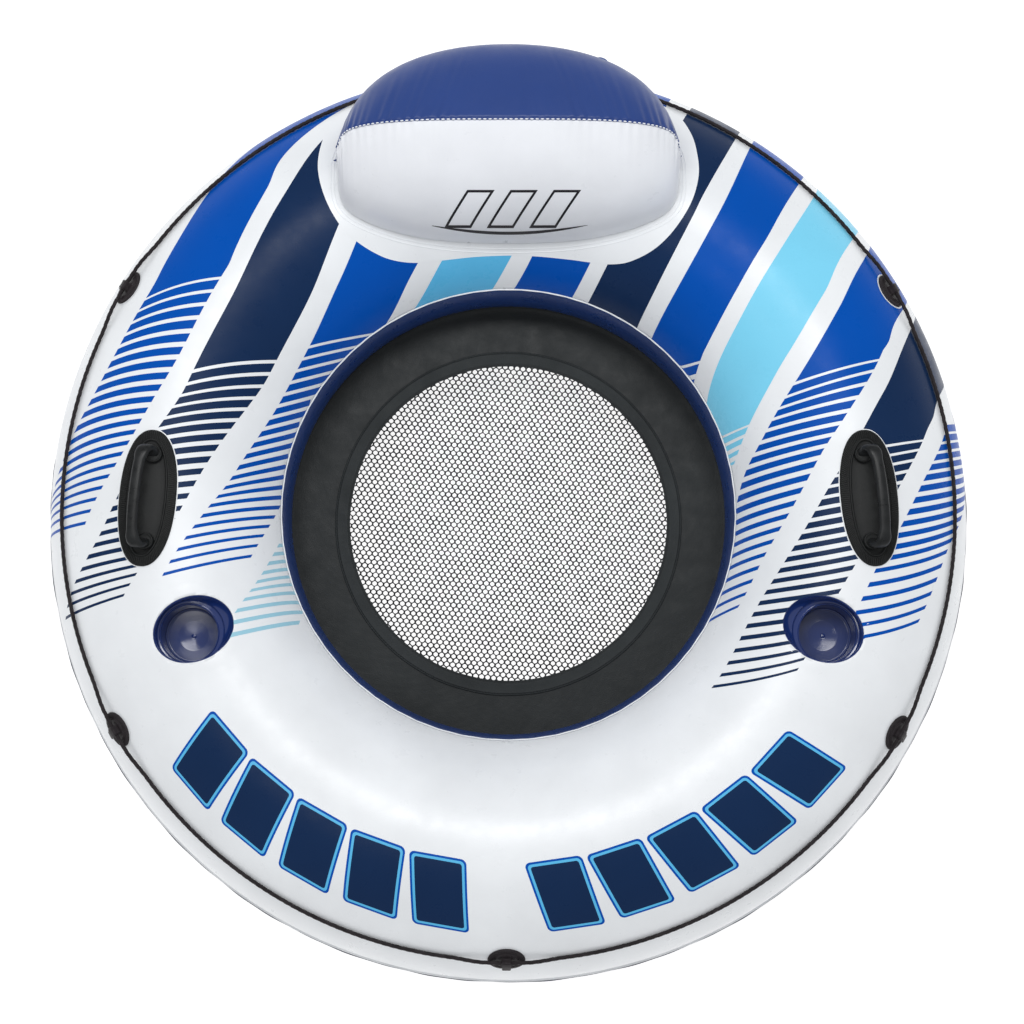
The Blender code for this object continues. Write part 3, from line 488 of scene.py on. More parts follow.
bands = [
    {"ink": "royal", "solid": 4, "lines": 21, "rows": [
        (103.0, -22.0, 86.0, 6.0), (127.7, 25.5, 119.0, 46.4), (137.0, 46.8, 127.4, 66.0),
        (144.9, 52.1, 136.9, 78.2), (150.2, 53.5, 141.7, 82.4), (160.1, 51.6, 154.4, 85.8),
        (168.0, 45.0, 163.6, 81.2), (176.6, 22.6, 172.9, 72.8), (183.5, -12.0, 182.8, 53.9)]},
    {"ink": "navy", "solid": 4, "lines": 21, "rows": [
        (96.0, 18.0, 88.0, 32.0), (116.8, 54.8, 109.1, 69.0), (126.5, 75.6, 116.7, 92.2),
        (141.2, 91.8, 131.3, 116.0), (157.4, 94.2, 148.0, 128.3), (166.6, 89.1, 160.7, 124.6),
        (180.8, 69.4, 178.8, 105.5), (186.8, 54.5, 185.9, 89.7), (194.2, 24.8, 194.3, 70.9)]},
    {"ink": "royal", "solid": 2, "lines": 21, "rows": [
        (115.2, 101.9, 100.7, 111.5), (126.6, 121.8, 112.9, 139.8), (140.4, 136.3, 124.8, 162.3),
        (157.1, 140.5, 142.3, 183.1), (172.9, 126.6, 163.8, 179.1), (181.5, 113.6, 177.1, 160.8),
        (192.3, 90.4, 191.5, 134.9)]},
    {"ink": "light", "solid": 3, "lines": 0, "rows": [
        (97.5, 114.6, 84.3, 114.2), (104.8, 135.4, 89.2, 137.8), (116.6, 165.4, 97.1, 174.2),
        (129.7, 188.9, 107.1, 213.2)]},
    {"ink": "pale", "solid": 0, "lines": 11, "thick": (0.46, 0.34), "rows": [
        (186.0, 162.4, 182.0, 241.7), (195.3, 139.1, 193.8, 205.9), (200.6, 122.5, 202.4, 174.2),
        (206.8, 101.6, 210.4, 145.8)]},
    {"ink": "royal", "solid": 3, "lines": 0, "rows": [
        (75.9, -15.5, 68.4, -40.3), (78.7, 94.2, 69.1, 84.2), (84.7, 138.3, 71.4, 132.5),
        (92.3, 181.9, 75.1, 179.4)]},
    {"ink": "navy", "solid": 6, "lines": 0, "rows": [
        (65.9, -40, 59.5, -77.1), (65.7, 25.9, 59.5, -31.8), (66.3, 82.3, 58.0, 68.3),
        (66.8, 108.6, 57.4, 93.8), (67.8, 132.9, 56.6, 118.9), (69.6, 165.2, 55.6, 142.2),
        (71.8, 201.2, 54.8, 181.7)]},
    {"ink": "royal", "solid": 5, "lines": 3, "rows": [
        (57.5, -40, 50.7, -74.1), (56.1, 36.5, 48.3, 38.6), (54.7, 85.2, 45.6, 82.5),
        (52.3, 118.5, 43.0, 108.7), (50.4, 160.0, 39.5, 137.0), (48.8, 204.8, 37.6, 145.7),
        (43.7, 269.5, 32.9, 172.1)]},
    {"ink": "sky", "solid": 5, "lines": 4, "rows": [
        (48.4, -40, 41.6, -74.6), (45.8, 39.8, 38.2, 37.7), (42.3, 84.2, 33.5, 76.6),
        (38.5, 115.8, 28.6, 104.4), (32.8, 148.1, 24.6, 120.6), (20.1, 189.2, 18.9, 138.2),
        (10.4, 216.7, 11.9, 157.3)]},
    {"ink": "royal", "solid": 3, "lines": 20, "rows": [
        (39.2, -40, 32.0, -51.9), (35.5, 37.2, 27.0, 35.0), (30.3, 76.1, 23.0, 58.7),
        (22.7, 109.5, 21.2, 66.7), (15.7, 132.0, 14.6, 93.0), (4.8, 153.8, 6.1, 111.1),
        (-16.2, 179.2, -9.9, 134.8), (-31.1, 166.8, -23.7, 142.7)]},
    {"ink": "navy", "solid": 3, "lines": 21, "rows": [
        (28.8, -33.1, 19.7, -28.1), (24.4, 35.2, 15.3, 29.0), (16.6, 71.1, 11.8, 45.8),
        (8.2, 92.2, 8.8, 54.7), (-0.1, 110.3, 2.0, 73.3), (-13.8, 126.3, -8.9, 89.2),
        (-26.5, 132.4, -19.0, 97.7), (-42.2, 129.2, -30.5, 99.9)]},
    {"ink": "royal", "solid": 0, "lines": 19, "rows": [
        (10.9, 33.8, 12.5, -38.7), (3.0, 58.8, 5.6, -0.7), (-7.0, 77.5, -2.5, 32.6),
        (-12.7, 82.8, -7.5, 43.9), (-25.0, 89.9, -17.6, 55.1)]},
]

printing = {
    "lift": 0.00012,             # ink over the vinyl
    "lowestLift": 5.0,
    "highestLift": 161.0,
    "firstLine": 0.74,           # share of the pitch that is inked at the top of a band's lines
    "lastLine": 0.26,
    "cells": 26,                 # across a band
    "stride": 0.0035,            # along it
}


def along(rows, place):
    # a smooth run through rows of numbers, place counted in rows
    rows = np.asarray(rows, float)
    last = len(rows) - 1
    place = np.clip(place, 0, last)
    i = np.minimum(place.astype(int), last - 1)
    t = (place - i)[:, None]
    second, third = rows[i], rows[i + 1]
    first = np.where((i > 0)[:, None], rows[np.maximum(i - 1, 0)], 2 * second - third)
    fourth = np.where((i + 2 <= last)[:, None], rows[np.minimum(i + 2, last)], 2 * third - second)
    return 0.5 * (2 * second + (third - first) * t + (2 * first - 5 * second + 4 * third - fourth) * t ** 2
                  + (3 * second - first - 3 * third + fourth) * t ** 3)


def settled(rows):
    # rows eased on to smooth edges, so that no band wavers
    rows = np.asarray(rows, float)
    if len(rows) < 5:
        return rows
    eased = rows.copy()
    for column in (0, 2):
        spots = onRingDegrees(rows[:, column], rows[:, column + 1])
        walk = np.concatenate([[0], np.cumsum(np.linalg.norm(np.diff(spots, axis=0), axis=1))])
        for k in (column, column + 1):
            eased[:, k] = np.polyval(np.polyfit(walk / walk[-1], rows[:, k], 3 if len(rows) < 7 else 4),
                                     walk / walk[-1])
    return eased


def inkPatch(rows, start, stop, steps, above):
    edges = along(rows, np.linspace(start, stop, steps + 1))
    share = np.linspace(0, 1, printing["cells"] + 1)[None, :]
    turn = edges[:, 0:1] * (1 - share) + edges[:, 2:3] * share
    lift = edges[:, 1:2] * (1 - share) + edges[:, 3:4] * share
    low, high = printing["lowestLift"], printing["highestLift"]
    outside = np.zeros(lift.shape, bool)
    for j in range(lift.shape[1]):
        # each run along the band is drawn only between the skin's two limits
        fine = np.linspace(0, steps, 40 * steps + 1)
        lifts = np.interp(fine, np.arange(steps + 1), lift[:, j])
        kept = fine[(lifts >= low) & (lifts <= high)]
        if len(kept) < 2:
            outside[:, j] = True
            kept = fine
        places = np.linspace(kept[0], kept[-1], steps + 1)
        turn[:, j] = np.interp(places, np.arange(steps + 1), turn[:, j])
        lift[:, j] = np.interp(places, np.arange(steps + 1), lift[:, j])
    turn, lift = np.radians(turn), np.radians(np.clip(lift, low, high))
    flat = onRing(turn, lift)
    points = onRing(turn, lift, above + ripple(flat[..., 0], flat[..., 1]))
    points, inside = clearOfCups(points, above, 0.0002)
    return dropFaces(gridMesh("ink", points), outside | inside)


def linePlaces(rows, solid, count):
    # where a band's lines fall, evenly spaced over the vinyl from its solid end to its last row,
    # and how many strides its solid part takes
    grid = np.linspace(0, len(rows) - 1, 40 * (len(rows) - 1) + 1)
    edges = along(rows, grid)
    left, right = onRingDegrees(edges[:, 0], edges[:, 1]), onRingDegrees(edges[:, 2], edges[:, 3])
    strides = [np.linalg.norm(np.diff(edge, axis=0), axis=1) for edge in (left, right)]
    walked = np.concatenate([[0], np.cumsum(sum(strides) / 2)])
    solidLength = np.interp(solid, grid, walked)
    marks = np.linspace(solidLength, walked[-1], count + 1)
    return np.interp(marks, walked, grid), math.ceil(solidLength / printing["stride"])


def makePrint():
    patches = {band["ink"]: [] for band in bands}
    above = printing["lift"]
    for band in bands:
        rows, solid, count = settled(band["rows"]), band["solid"], band["lines"]
        places, strides = linePlaces(rows, solid, count)
        if solid:
            patches[band["ink"]].append(inkPatch(rows, 0.0, solid, strides, above))
        first, final = band.get("thick", (printing["firstLine"], printing["lastLine"]))
        for k in range(count):
            inked = (first + (final - first) * k / count) * (places[k + 1] - places[k])
            stop = places[k + 1] if solid else places[k] + inked
            patches[band["ink"]].append(inkPatch(rows, stop - inked, stop, 2, above))
    for ink, meshes in patches.items():
        mesh = faceUp(joinMeshes("print" + ink.capitalize(), meshes))
        addPiece("print" + ink.capitalize(), mesh, ink, "printed_vinyl")


def faceUp(mesh):
    # open sheets on the ring: every face looks away from the air tube's middle
    work = bmesh.new()
    work.from_mesh(mesh)
    for face in work.faces:
        middle = face.calc_center_median()
        flat = Vector((middle.x, middle.y, 0)).normalized() * ring["radius"]
        if face.normal.dot(middle - Vector((flat.x, flat.y, ring["height"]))) < 0:
            face.normal_flip()
    work.to_mesh(mesh)
    work.free()
    return mesh


makePrint()
print("bands printed")


# ---- white patches round the fittings, over the bands

def roundPatch(boundary, middle, inner, above, rings=12):
    # a patch between a boundary in plan and the same boundary shrunk to a share of itself
    boundary, middle = np.asarray(boundary, float), np.asarray(middle, float)
    shares = np.linspace(inner, 1.0, rings)[:, None, None]
    plan = middle + (boundary[None] - middle) * shares
    return gridMesh("patch", overSkin(plan[..., 0], plan[..., 1], above), loopCols=True)


pillowPatch = {
    "middle": (0.0, 0.50),
    "outline": [(-0.250, 0.572), (-0.266, 0.536), (-0.273, 0.487), (-0.262, 0.438), (-0.239, 0.396),
                (-0.214, 0.374), (-0.185, 0.359), (-0.159, 0.353), (-0.127, 0.353), (-0.086, 0.359),
                (-0.044, 0.364), (0.005, 0.366), (0.046, 0.364), (0.088, 0.359), (0.118, 0.354),
                (0.145, 0.350), (0.172, 0.351), (0.202, 0.362), (0.226, 0.380), (0.247, 0.406),
                (0.263, 0.436), (0.272, 0.472), (0.271, 0.506), (0.264, 0.540), (0.246, 0.574),
                (0.215, 0.596), (0.16, 0.612), (0.09, 0.622), (0.0, 0.626), (-0.09, 0.622),
                (-0.16, 0.612), (-0.218, 0.597)],
}


def smoothLoop(points, count):
    points = [tuple(point) for point in points]
    ringPoints = points[-2:] + points + points[:3]
    place = np.linspace(2, 2 + len(points), count, endpoint=False)
    return along(ringPoints, place)


def evenOval(halfLong, halfWide, squareness, count):
    # points evenly spaced round an oval
    angle = np.linspace(0, 2 * math.pi, 4001)
    spots = np.stack([halfLong * signedPower(np.cos(angle), 2 / squareness),
                      halfWide * signedPower(np.sin(angle), 2 / squareness)], axis=-1)
    return evenLoop(spots, count)


def evenLoop(spots, count):
    # a closed outline, its first point repeated last, walked in equal steps
    walk = np.concatenate([[0], np.cumsum(np.linalg.norm(np.diff(spots, axis=0), axis=1))])
    even = np.linspace(0, walk[-1], count, endpoint=False)
    return np.stack([np.interp(even, walk, spots[:, k]) for k in (0, 1)], axis=-1)


handle = {
    "turn": 0.6,
    "lift": 86.6,
    "twist": 4.0,
    "length": 0.193,
    "width": 0.081,
    "squareness": 2.25,
    "plate": 0.0024,
    "border": 0.0138,            # from the outline to the lip round the recess
    "lip": 0.0018,
    "lipHeight": 0.0054,
    "ribs": 150,
    "ribHeight": 0.0016,
    "perRib": 6,
    "barHalf": 0.0065,           # half its width in the middle, and at its ends
    "barEndHalf": 0.0081,
    "barThick": 0.0052,          # half its thickness
    "bossPlace": (0.0612, 0.0045),
    "bossRadius": 0.0116,
    "bossSides": 64,
    "halo": 0.0016,
}


def wrap(points, turn, lift, twist=0.0, above=0.0006):
    # lays a flat-made fitting on the ring: x straight across the radius, y up the tube, z out
    x, y, z = points[..., 0], points[..., 1], points[..., 2]
    x, y = x * math.cos(twist) - y * math.sin(twist), x * math.sin(twist) + y * math.cos(twist)
    out = ring["radius"] + ring["tube"] * np.cos(lift + y / ring["tube"])
    level = np.arccos((np.hypot(out, x) - ring["radius"]) / ring["tube"])
    return onRing(turn + np.arctan2(x, out), level, z + above)


def wrapMesh(mesh, turn, lift, twist=0.0, above=0.0006):
    points = np.empty(len(mesh.vertices) * 3)
    mesh.vertices.foreach_get("co", points)
    mesh.vertices.foreach_set("co", wrap(points.reshape(-1, 3), turn, lift, twist, above).reshape(-1))
    mesh.update()
    return mesh


def handlePlace(side):
    turn, lift, twist = (math.radians(handle[key]) for key in ("turn", "lift", "twist"))
    return (turn if side > 0 else math.pi - turn), lift, twist * side


def retainerTurn(index):
    return math.radians(retainer["firstTurn"]) + 2 * math.pi * index / retainer["count"]


def makePatches():
    meshes = [roundPatch(smoothLoop(pillowPatch["outline"], 240), pillowPatch["middle"], 0.5, 0.0003)]
    for side in (1, -1):
        turn, lift, twist = handlePlace(side)
        rim = evenOval(handle["length"] / 2 + handle["halo"], handle["width"] / 2 + handle["halo"],
                       handle["squareness"], 200)
        shares = np.linspace(0.86, 1.0, 5)[:, None, None]
        flat = np.concatenate([rim[None] * shares, np.full((5, 200, 1), 0.0003)], axis=-1)
        meshes.append(gridMesh("halo", wrap(flat, turn, lift, twist, 0.0), loopCols=True))
    for index in range(retainer["count"]):
        turn = retainerTurn(index)
        angle = np.linspace(0, 2 * math.pi, 120, endpoint=False)[None, :]
        shares = np.linspace(0.8, 1.0, 5)[:, None]
        flat = np.stack([(retainer["length"] / 2 + 0.0022) * np.cos(angle) * shares,
                         (retainer["width"] / 2 + 0.0022) * np.sin(angle) * shares,
                         np.full(shares.shape, 0.0003) * np.ones(angle.shape)], axis=-1)
        meshes.append(gridMesh("halo", wrap(flat, turn, math.radians(rope["lift"]), 0.0, 0.0), loopCols=True))
    addPiece("printWhite", faceUp(joinMeshes("printWhite", meshes)), "skin", "printed_vinyl")


makePatches()


# ---- plain slanted blocks along the front of the ring, each outlined twice

blocks = {
    "turns": [-139.0, -129.25, -119.5, -109.75, -100.0, -81.8, -72.05, -62.3, -52.55, -42.8],
    "lift": 71.5,
    "halfWidth": 0.0400,
    "halfHeight": 0.0530,
    "corner": 0.0075,
    "slant": 0.20,
    "outlines": (("royal", 0.0, 0.00012), ("light", 0.0030, 0.00024), ("navy", 0.0066, 0.00036)),
    "points": 240,
}


def blockOutline(inset):
    across, up = blocks["halfWidth"] - inset, blocks["halfHeight"] - inset
    corner = blocks["corner"] - inset * 0.6
    spots = []
    for k, (right, high) in enumerate(((1, 1), (-1, 1), (-1, -1), (1, -1))):
        for angle in np.linspace(k * math.pi / 2, (k + 1) * math.pi / 2, 9):
            spots.append((right * (across - corner) + corner * math.cos(angle),
                          high * (up - corner) + corner * math.sin(angle)))
    return evenLoop(np.array(spots + spots[:1]), blocks["points"])


def makeBlocks():
    layers = {"royal": [], "light": [], "navy": []}
    shares = np.linspace(0.0, 1.0, 12)[1:, None]
    for turn in blocks["turns"]:
        for ink, inset, above in blocks["outlines"]:
            spots = blockOutline(inset)
            t = spots[None, :, 1] * shares
            s = spots[None, :, 0] * shares - blocks["slant"] * t
            flat = np.stack([s, t, np.full(s.shape, above)], axis=-1)
            placed = wrap(flat, math.radians(turn), math.radians(blocks["lift"]), 0.0, 0.0)
            layers[ink].append(capped(gridMesh("block", placed, loopCols=True), blocks["points"], both=False))
    for ink, meshes in layers.items():
        addPiece("blocks" + ink.capitalize(), faceUp(joinMeshes("blocks", meshes)), ink, "printed_vinyl")


makeBlocks()
print("patches and blocks printed")


# ---- floor of the ring: collar, tape, stitching and net

floor = {
    "wallRadius": 0.3338,
    "wallHeight": 0.1033,
    "netRadius": 0.238,
    "tapeWidth": 0.0225,
    "collarLevel": 0.09926,
    "netLevel": 0.1000,
    "tapeLow": 0.1008,
    "tapeThick": 0.0016,
    "creases": 0.00035,
}


def waves(turn, seed, lowest, highest, count):
    draw = random.Random(seed)
    total = np.zeros(np.shape(turn))
    for _ in range(count):
        total = total + draw.uniform(0.4, 1.0) * np.sin(draw.randint(lowest, highest) * turn
                                                        + draw.uniform(0, 2 * math.pi))
    return total / count


def makeCollar():
    turn = np.linspace(0, 2 * math.pi, 480, endpoint=False)[:, None]
    reach = ring["tube"] + 0.0016
    edge = []
    for lift in np.radians(np.linspace(180 + 22 - 3.9, 180 + 22, 6)):
        edge.append((ring["radius"] + reach * math.cos(lift), ring["height"] + reach * math.sin(lift)))
    foot = floor["wallRadius"] - 0.002
    level = floor["collarLevel"]
    profile = along([edge[0], edge[2], edge[5], (foot - 0.004, floor["wallHeight"] - 0.0022),
                     (foot - 0.012, floor["wallHeight"] - 0.0036), (foot - 0.036, level + 0.0001),
                     (foot - 0.060, level), (floor["netRadius"] + 0.002, level)], np.linspace(0, 7, 64))
    radius, height = profile[:, 0][None, :], profile[:, 1][None, :]
    inFrom = np.clip((radius - floor["netRadius"]) / (foot - floor["netRadius"]), 0, 1)
    swell = np.sin(inFrom * math.pi) ** 0.7
    drag = waves(turn + 0.25 * np.sin(3 * turn) * inFrom, 5, 9, 34, 8)
    crease = waves(turn * 1.0 + 3.2 * inFrom * inFrom, 11, 40, 120, 7)
    height = height + swell * floor["creases"] * (2.2 * drag + crease) * (radius < foot - 0.004)
    points = np.stack([radius * np.cos(turn), radius * np.sin(turn), height], axis=-1)
    piece = addPiece("floorCollar", faceOut(gridMesh("floorCollar", points, loopRows=True)), "collar",
                     "black_vinyl", "floor_collar", thick=ring["sheet"])


def makeTape():
    turn = np.linspace(0, 2 * math.pi, 640, endpoint=False)[:, None]
    inside, outside = floor["netRadius"], floor["netRadius"] + floor["tapeWidth"]
    low, thick = floor["tapeLow"], floor["tapeThick"]
    outline = [(inside + out, share) for out, share in (
        (0.0004, 0.0), (0.0, 0.35), (0.0003, 0.8), (0.0012, 1.0), (0.0032, 0.86), (0.0052, 1.06), (0.009, 1.0),
        (0.013, 0.97), (0.0165, 1.02), (0.0188, 1.1), (0.0199, 0.72), (0.0210, 1.12))]
    outline += [(outside - 0.0003, 0.8), (outside, 0.4), (outside - 0.0004, 0.0)]
    points = along(outline, np.linspace(0, len(outline) - 1, 64))
    radius, share = points[:, 0][None, :], points[:, 1][None, :]
    band = np.exp(-(((radius - inside) / floor["tapeWidth"] - 0.5) / 0.28) ** 2)
    gather = waves(turn + 0.6 * (radius - inside), 21, 90, 260, 9)
    height = low + np.clip(share, 0, 1.2) * thick + band * gather * 0.00055 * (share > 0.5)
    wobble = 1 + 0.0009 * waves(turn, 3, 5, 30, 6)
    placed = np.stack([radius * wobble * np.cos(turn), radius * wobble * np.sin(turn), height], axis=-1)
    addPiece("meshTape", faceOut(gridMesh("meshTape", placed, loopRows=True, loopCols=True)), "tape",
             "black_tape", "mesh_binding")

    # zigzag stitches over the tape's inner edge, and a row of lockstitches in its outer groove
    count = 520
    step = np.arange(count * 2)
    angle = 2 * math.pi * step / (count * 2)
    zigRadius = np.where(step % 2 == 0, inside + 0.0008, inside + 0.0046)
    zig = np.stack([zigRadius * np.cos(angle), zigRadius * np.sin(angle),
                    np.full(angle.shape, low + thick * 0.96)], axis=-1)
    meshes = [tubeAlong(zig, 0.00042, 6, closed=True)]
    stitchRadius = inside + 0.0199
    for k in range(360):
        start = 2 * math.pi * k / 360
        sweep = start + np.linspace(0.08, 0.86, 4) * 2 * math.pi / 360
        rise = low + thick * np.array([0.72, 1.0, 1.0, 0.72])
        path = np.stack([stitchRadius * np.cos(sweep), stitchRadius * np.sin(sweep), rise], axis=-1)
        meshes.append(tubeAlong(path, [0.00025, 0.00042, 0.00042, 0.00025], 5))
    addPiece("tapeStitching", joinMeshes("tapeStitching", meshes), "stitch", "black_tape")


net = {
    "pitch": 0.0090,             # between holes along a row
    "rowPitch": 0.00635,
    "tilt": -6.5,                # rows run this much off the X axis
    "hole": 0.745,                # of the cell
    "high": 0.00045,
    "knot": 0.0003,
    "reach": 0.2465,
}


def makeNet():
    w, h = net["pitch"], net["rowPitch"]
    apex, shoulder = h / 2 + w * w / (8 * h), h / 2 - w * w / (8 * h)
    corners = np.array([(w / 2, -shoulder), (w / 2, shoulder), (0, apex),
                        (-w / 2, shoulder), (-w / 2, -shoulder), (0, -apex)])
    outline, knots = [], []
    for k in range(6):
        outline += [corners[k], (corners[k] + corners[(k + 1) % 6]) / 2]
        knots += [1.0, 0.0]
    outline, knots = np.array(outline), np.array(knots)
    angle = np.arctan2(outline[:, 1], outline[:, 0])
    hole = np.stack([np.cos(angle), np.sin(angle)], axis=-1) * (w * 0.5 * net["hole"] * 0.985)
    hole = hole * 0.55 + outline * net["hole"] * 0.45
    tilt = math.radians(net["tilt"])
    spin = np.array([[math.cos(tilt), -math.sin(tilt)], [math.sin(tilt), math.cos(tilt)]])
    half = int(net["reach"] / h) + 2
    cells = []
    for j in range(-half, half + 1):
        for i in range(-half, half + 1):
            middle = spin @ np.array([(i + 0.5 * (j % 2)) * w, j * h])
            if np.hypot(*middle) < net["reach"]:
                cells.append(middle)
    cells = np.array(cells)
    draw = random.Random(7)
    corner = {}
    points, faces = [], []
    level = floor["netLevel"]

    def post(key, spot, height):
        if key not in corner:
            corner[key] = len(points)
            points.append((spot[0], spot[1], height))
        return corner[key]

    shared = {}
    for middle in cells:
        rim = middle + outline @ spin.T
        slack = 1 + draw.uniform(-0.05, 0.05)
        inner = middle + (hole @ spin.T) * slack
        tops, lows, mids = [], [], []
        for k in range(12):
            key = (round(rim[k][0] * 2e4), round(rim[k][1] * 2e4))
            rise = net["high"] + net["knot"] * knots[k]
            tops.append(post((key, 1), rim[k], level + rise))
            lows.append(post((key, -1), rim[k], level - net["high"]))
            mids.append(len(points))
            points.append((inner[k][0], inner[k][1], level))
        for k in range(12):
            n = (k + 1) % 12
            faces.append((tops[k], tops[n], mids[n], mids[k]))
            faces.append((lows[n], lows[k], mids[k], mids[n]))
            edge = (min(tops[k], tops[n]), max(tops[k], tops[n]))
            shared.setdefault(edge, []).append((tops[n], tops[k], lows[k], lows[n]))
    faces += [sides[0] for sides in shared.values() if len(sides) == 1]
    mesh = faceOut(meshOf("seatNet", points, faces))
    piece = addPiece("seatNet", mesh, "net", "black_net", "seat_mesh", sharp=180)


makeCollar()
makeTape()
makeNet()
print("floor ready")


# ---- cup holders

def makeCup(side):
    turn = cupAngle(side)
    sides = cup["sides"]
    angle = np.linspace(0, 2 * math.pi, sides, endpoint=False)
    middle = cup["fromAxis"]
    topLevel = ring["height"] + math.sqrt(ring["tube"] ** 2 - (middle - ring["radius"]) ** 2)

    def rimLoop(grow, above):
        x = middle - cup["rimInward"] + (cup["rimAcross"] + grow) * np.cos(angle)
        y = (cup["rimAlong"] + grow) * np.sin(angle)
        aside = np.hypot(x, y) - ring["radius"]
        return np.stack([x, y, ring["height"] + np.sqrt((ring["tube"] + above) ** 2 - aside ** 2)], axis=-1)

    def level(radius, depth, toRim=0.0):
        across = radius + (cup["rimAcross"] - cup["rimAlong"]) * toRim
        return np.stack([middle - cup["rimInward"] * toRim + across * np.cos(angle), radius * np.sin(angle),
                         np.full(sides, topLevel - depth)], axis=-1)

    wall = cup["wall"]
    step, body, base, deep = cup["stepRadius"], cup["bodyRadius"], cup["floorRadius"], cup["depth"]
    shallow = cup["stepDepth"]
    loops = [rimLoop(grow, above) for grow, above in (
        (0.0085, -0.0016), (0.0040, -0.0013), (0.0006, -0.0012), (-0.0004, -0.0013), (-0.0010, -0.0019))]
    start, end = rimLoop(-0.0014, -0.0035), level(step + 0.0006, shallow - 0.004, 0.25)
    for k in range(7):
        share = k / 6
        sag = np.array([0, 0, -0.0016]) * math.sin(share * math.pi)
        loops.append(start * (1 - share) + end * share + sag)
    loops += [level(step + out, shallow + down, toRim) for out, down, toRim in (
        (0.0, -0.0016, 0.25), (-0.0006, 0.0002, 0.2), (-0.0020, 0.0014, 0.1))]
    loops += [level(body + out, shallow + down) for out, down in (
        (0.0018, 0.0010), (0.0007, -0.0004), (0.0, -0.0001), (-0.0006, 0.0022))]
    for k in range(1, 9):
        share = k / 9
        radius = body - 0.0006 + (base + 0.0002 - body) * share + 0.00022 * math.cos(share * math.pi * 8)
        loops.append(level(radius, shallow + 0.0022 + (deep - 0.006 - shallow) * share))
    loops += [level(base + out, deep - up) for out, up in (
        (0.0002, 0.0072), (-0.0016, 0.0064), (-0.0019, 0.0048), (-0.0002, 0.0038), (-0.0006, 0.0012),
        (-0.0024, 0.0))]
    for radius in np.linspace(base - 0.0030, 0.0036, 60):
        sunk = cup["bowl"] * max(0.0, 1 - (radius / cup["floorStep"]) ** 2)
        loops.append(level(radius, deep + sunk - 0.00005 * math.sin(radius * 2 * math.pi / 0.0021)))
    loops += [level(radius, deep + down) for radius, down in (
        (0.0031, 0.0014), (0.0026, 0.0004), (0.0013, 0.0), (0.0004, 0.0))]
    under = deep + wall + 0.0014
    outside = [level(0.0004, under), level(base - 0.002, under), level(base + wall, deep - 0.002),
               level(body + wall, shallow + wall), level(step + wall, shallow, 0.25), rimLoop(0.0004, -0.0066),
               rimLoop(0.0022, -0.0030), rimLoop(0.0085, -0.0027)]
    points = np.array(loops[::-1] + outside[::-1])
    spin = np.array([[math.cos(turn), -math.sin(turn), 0], [math.sin(turn), math.cos(turn), 0], [0, 0, 1]])
    mesh = gridMesh("cup", points @ spin.T, loopCols=True)
    faceOut(capped(mesh, sides))
    label = "Right" if side > 0 else "Left"
    addPiece("cupHolder" + label, mesh, "cup", "cup_vinyl", "cup_holder_" + label.lower())


makeCup(1)
makeCup(-1)
print("cup holders ready")


# ---- handles

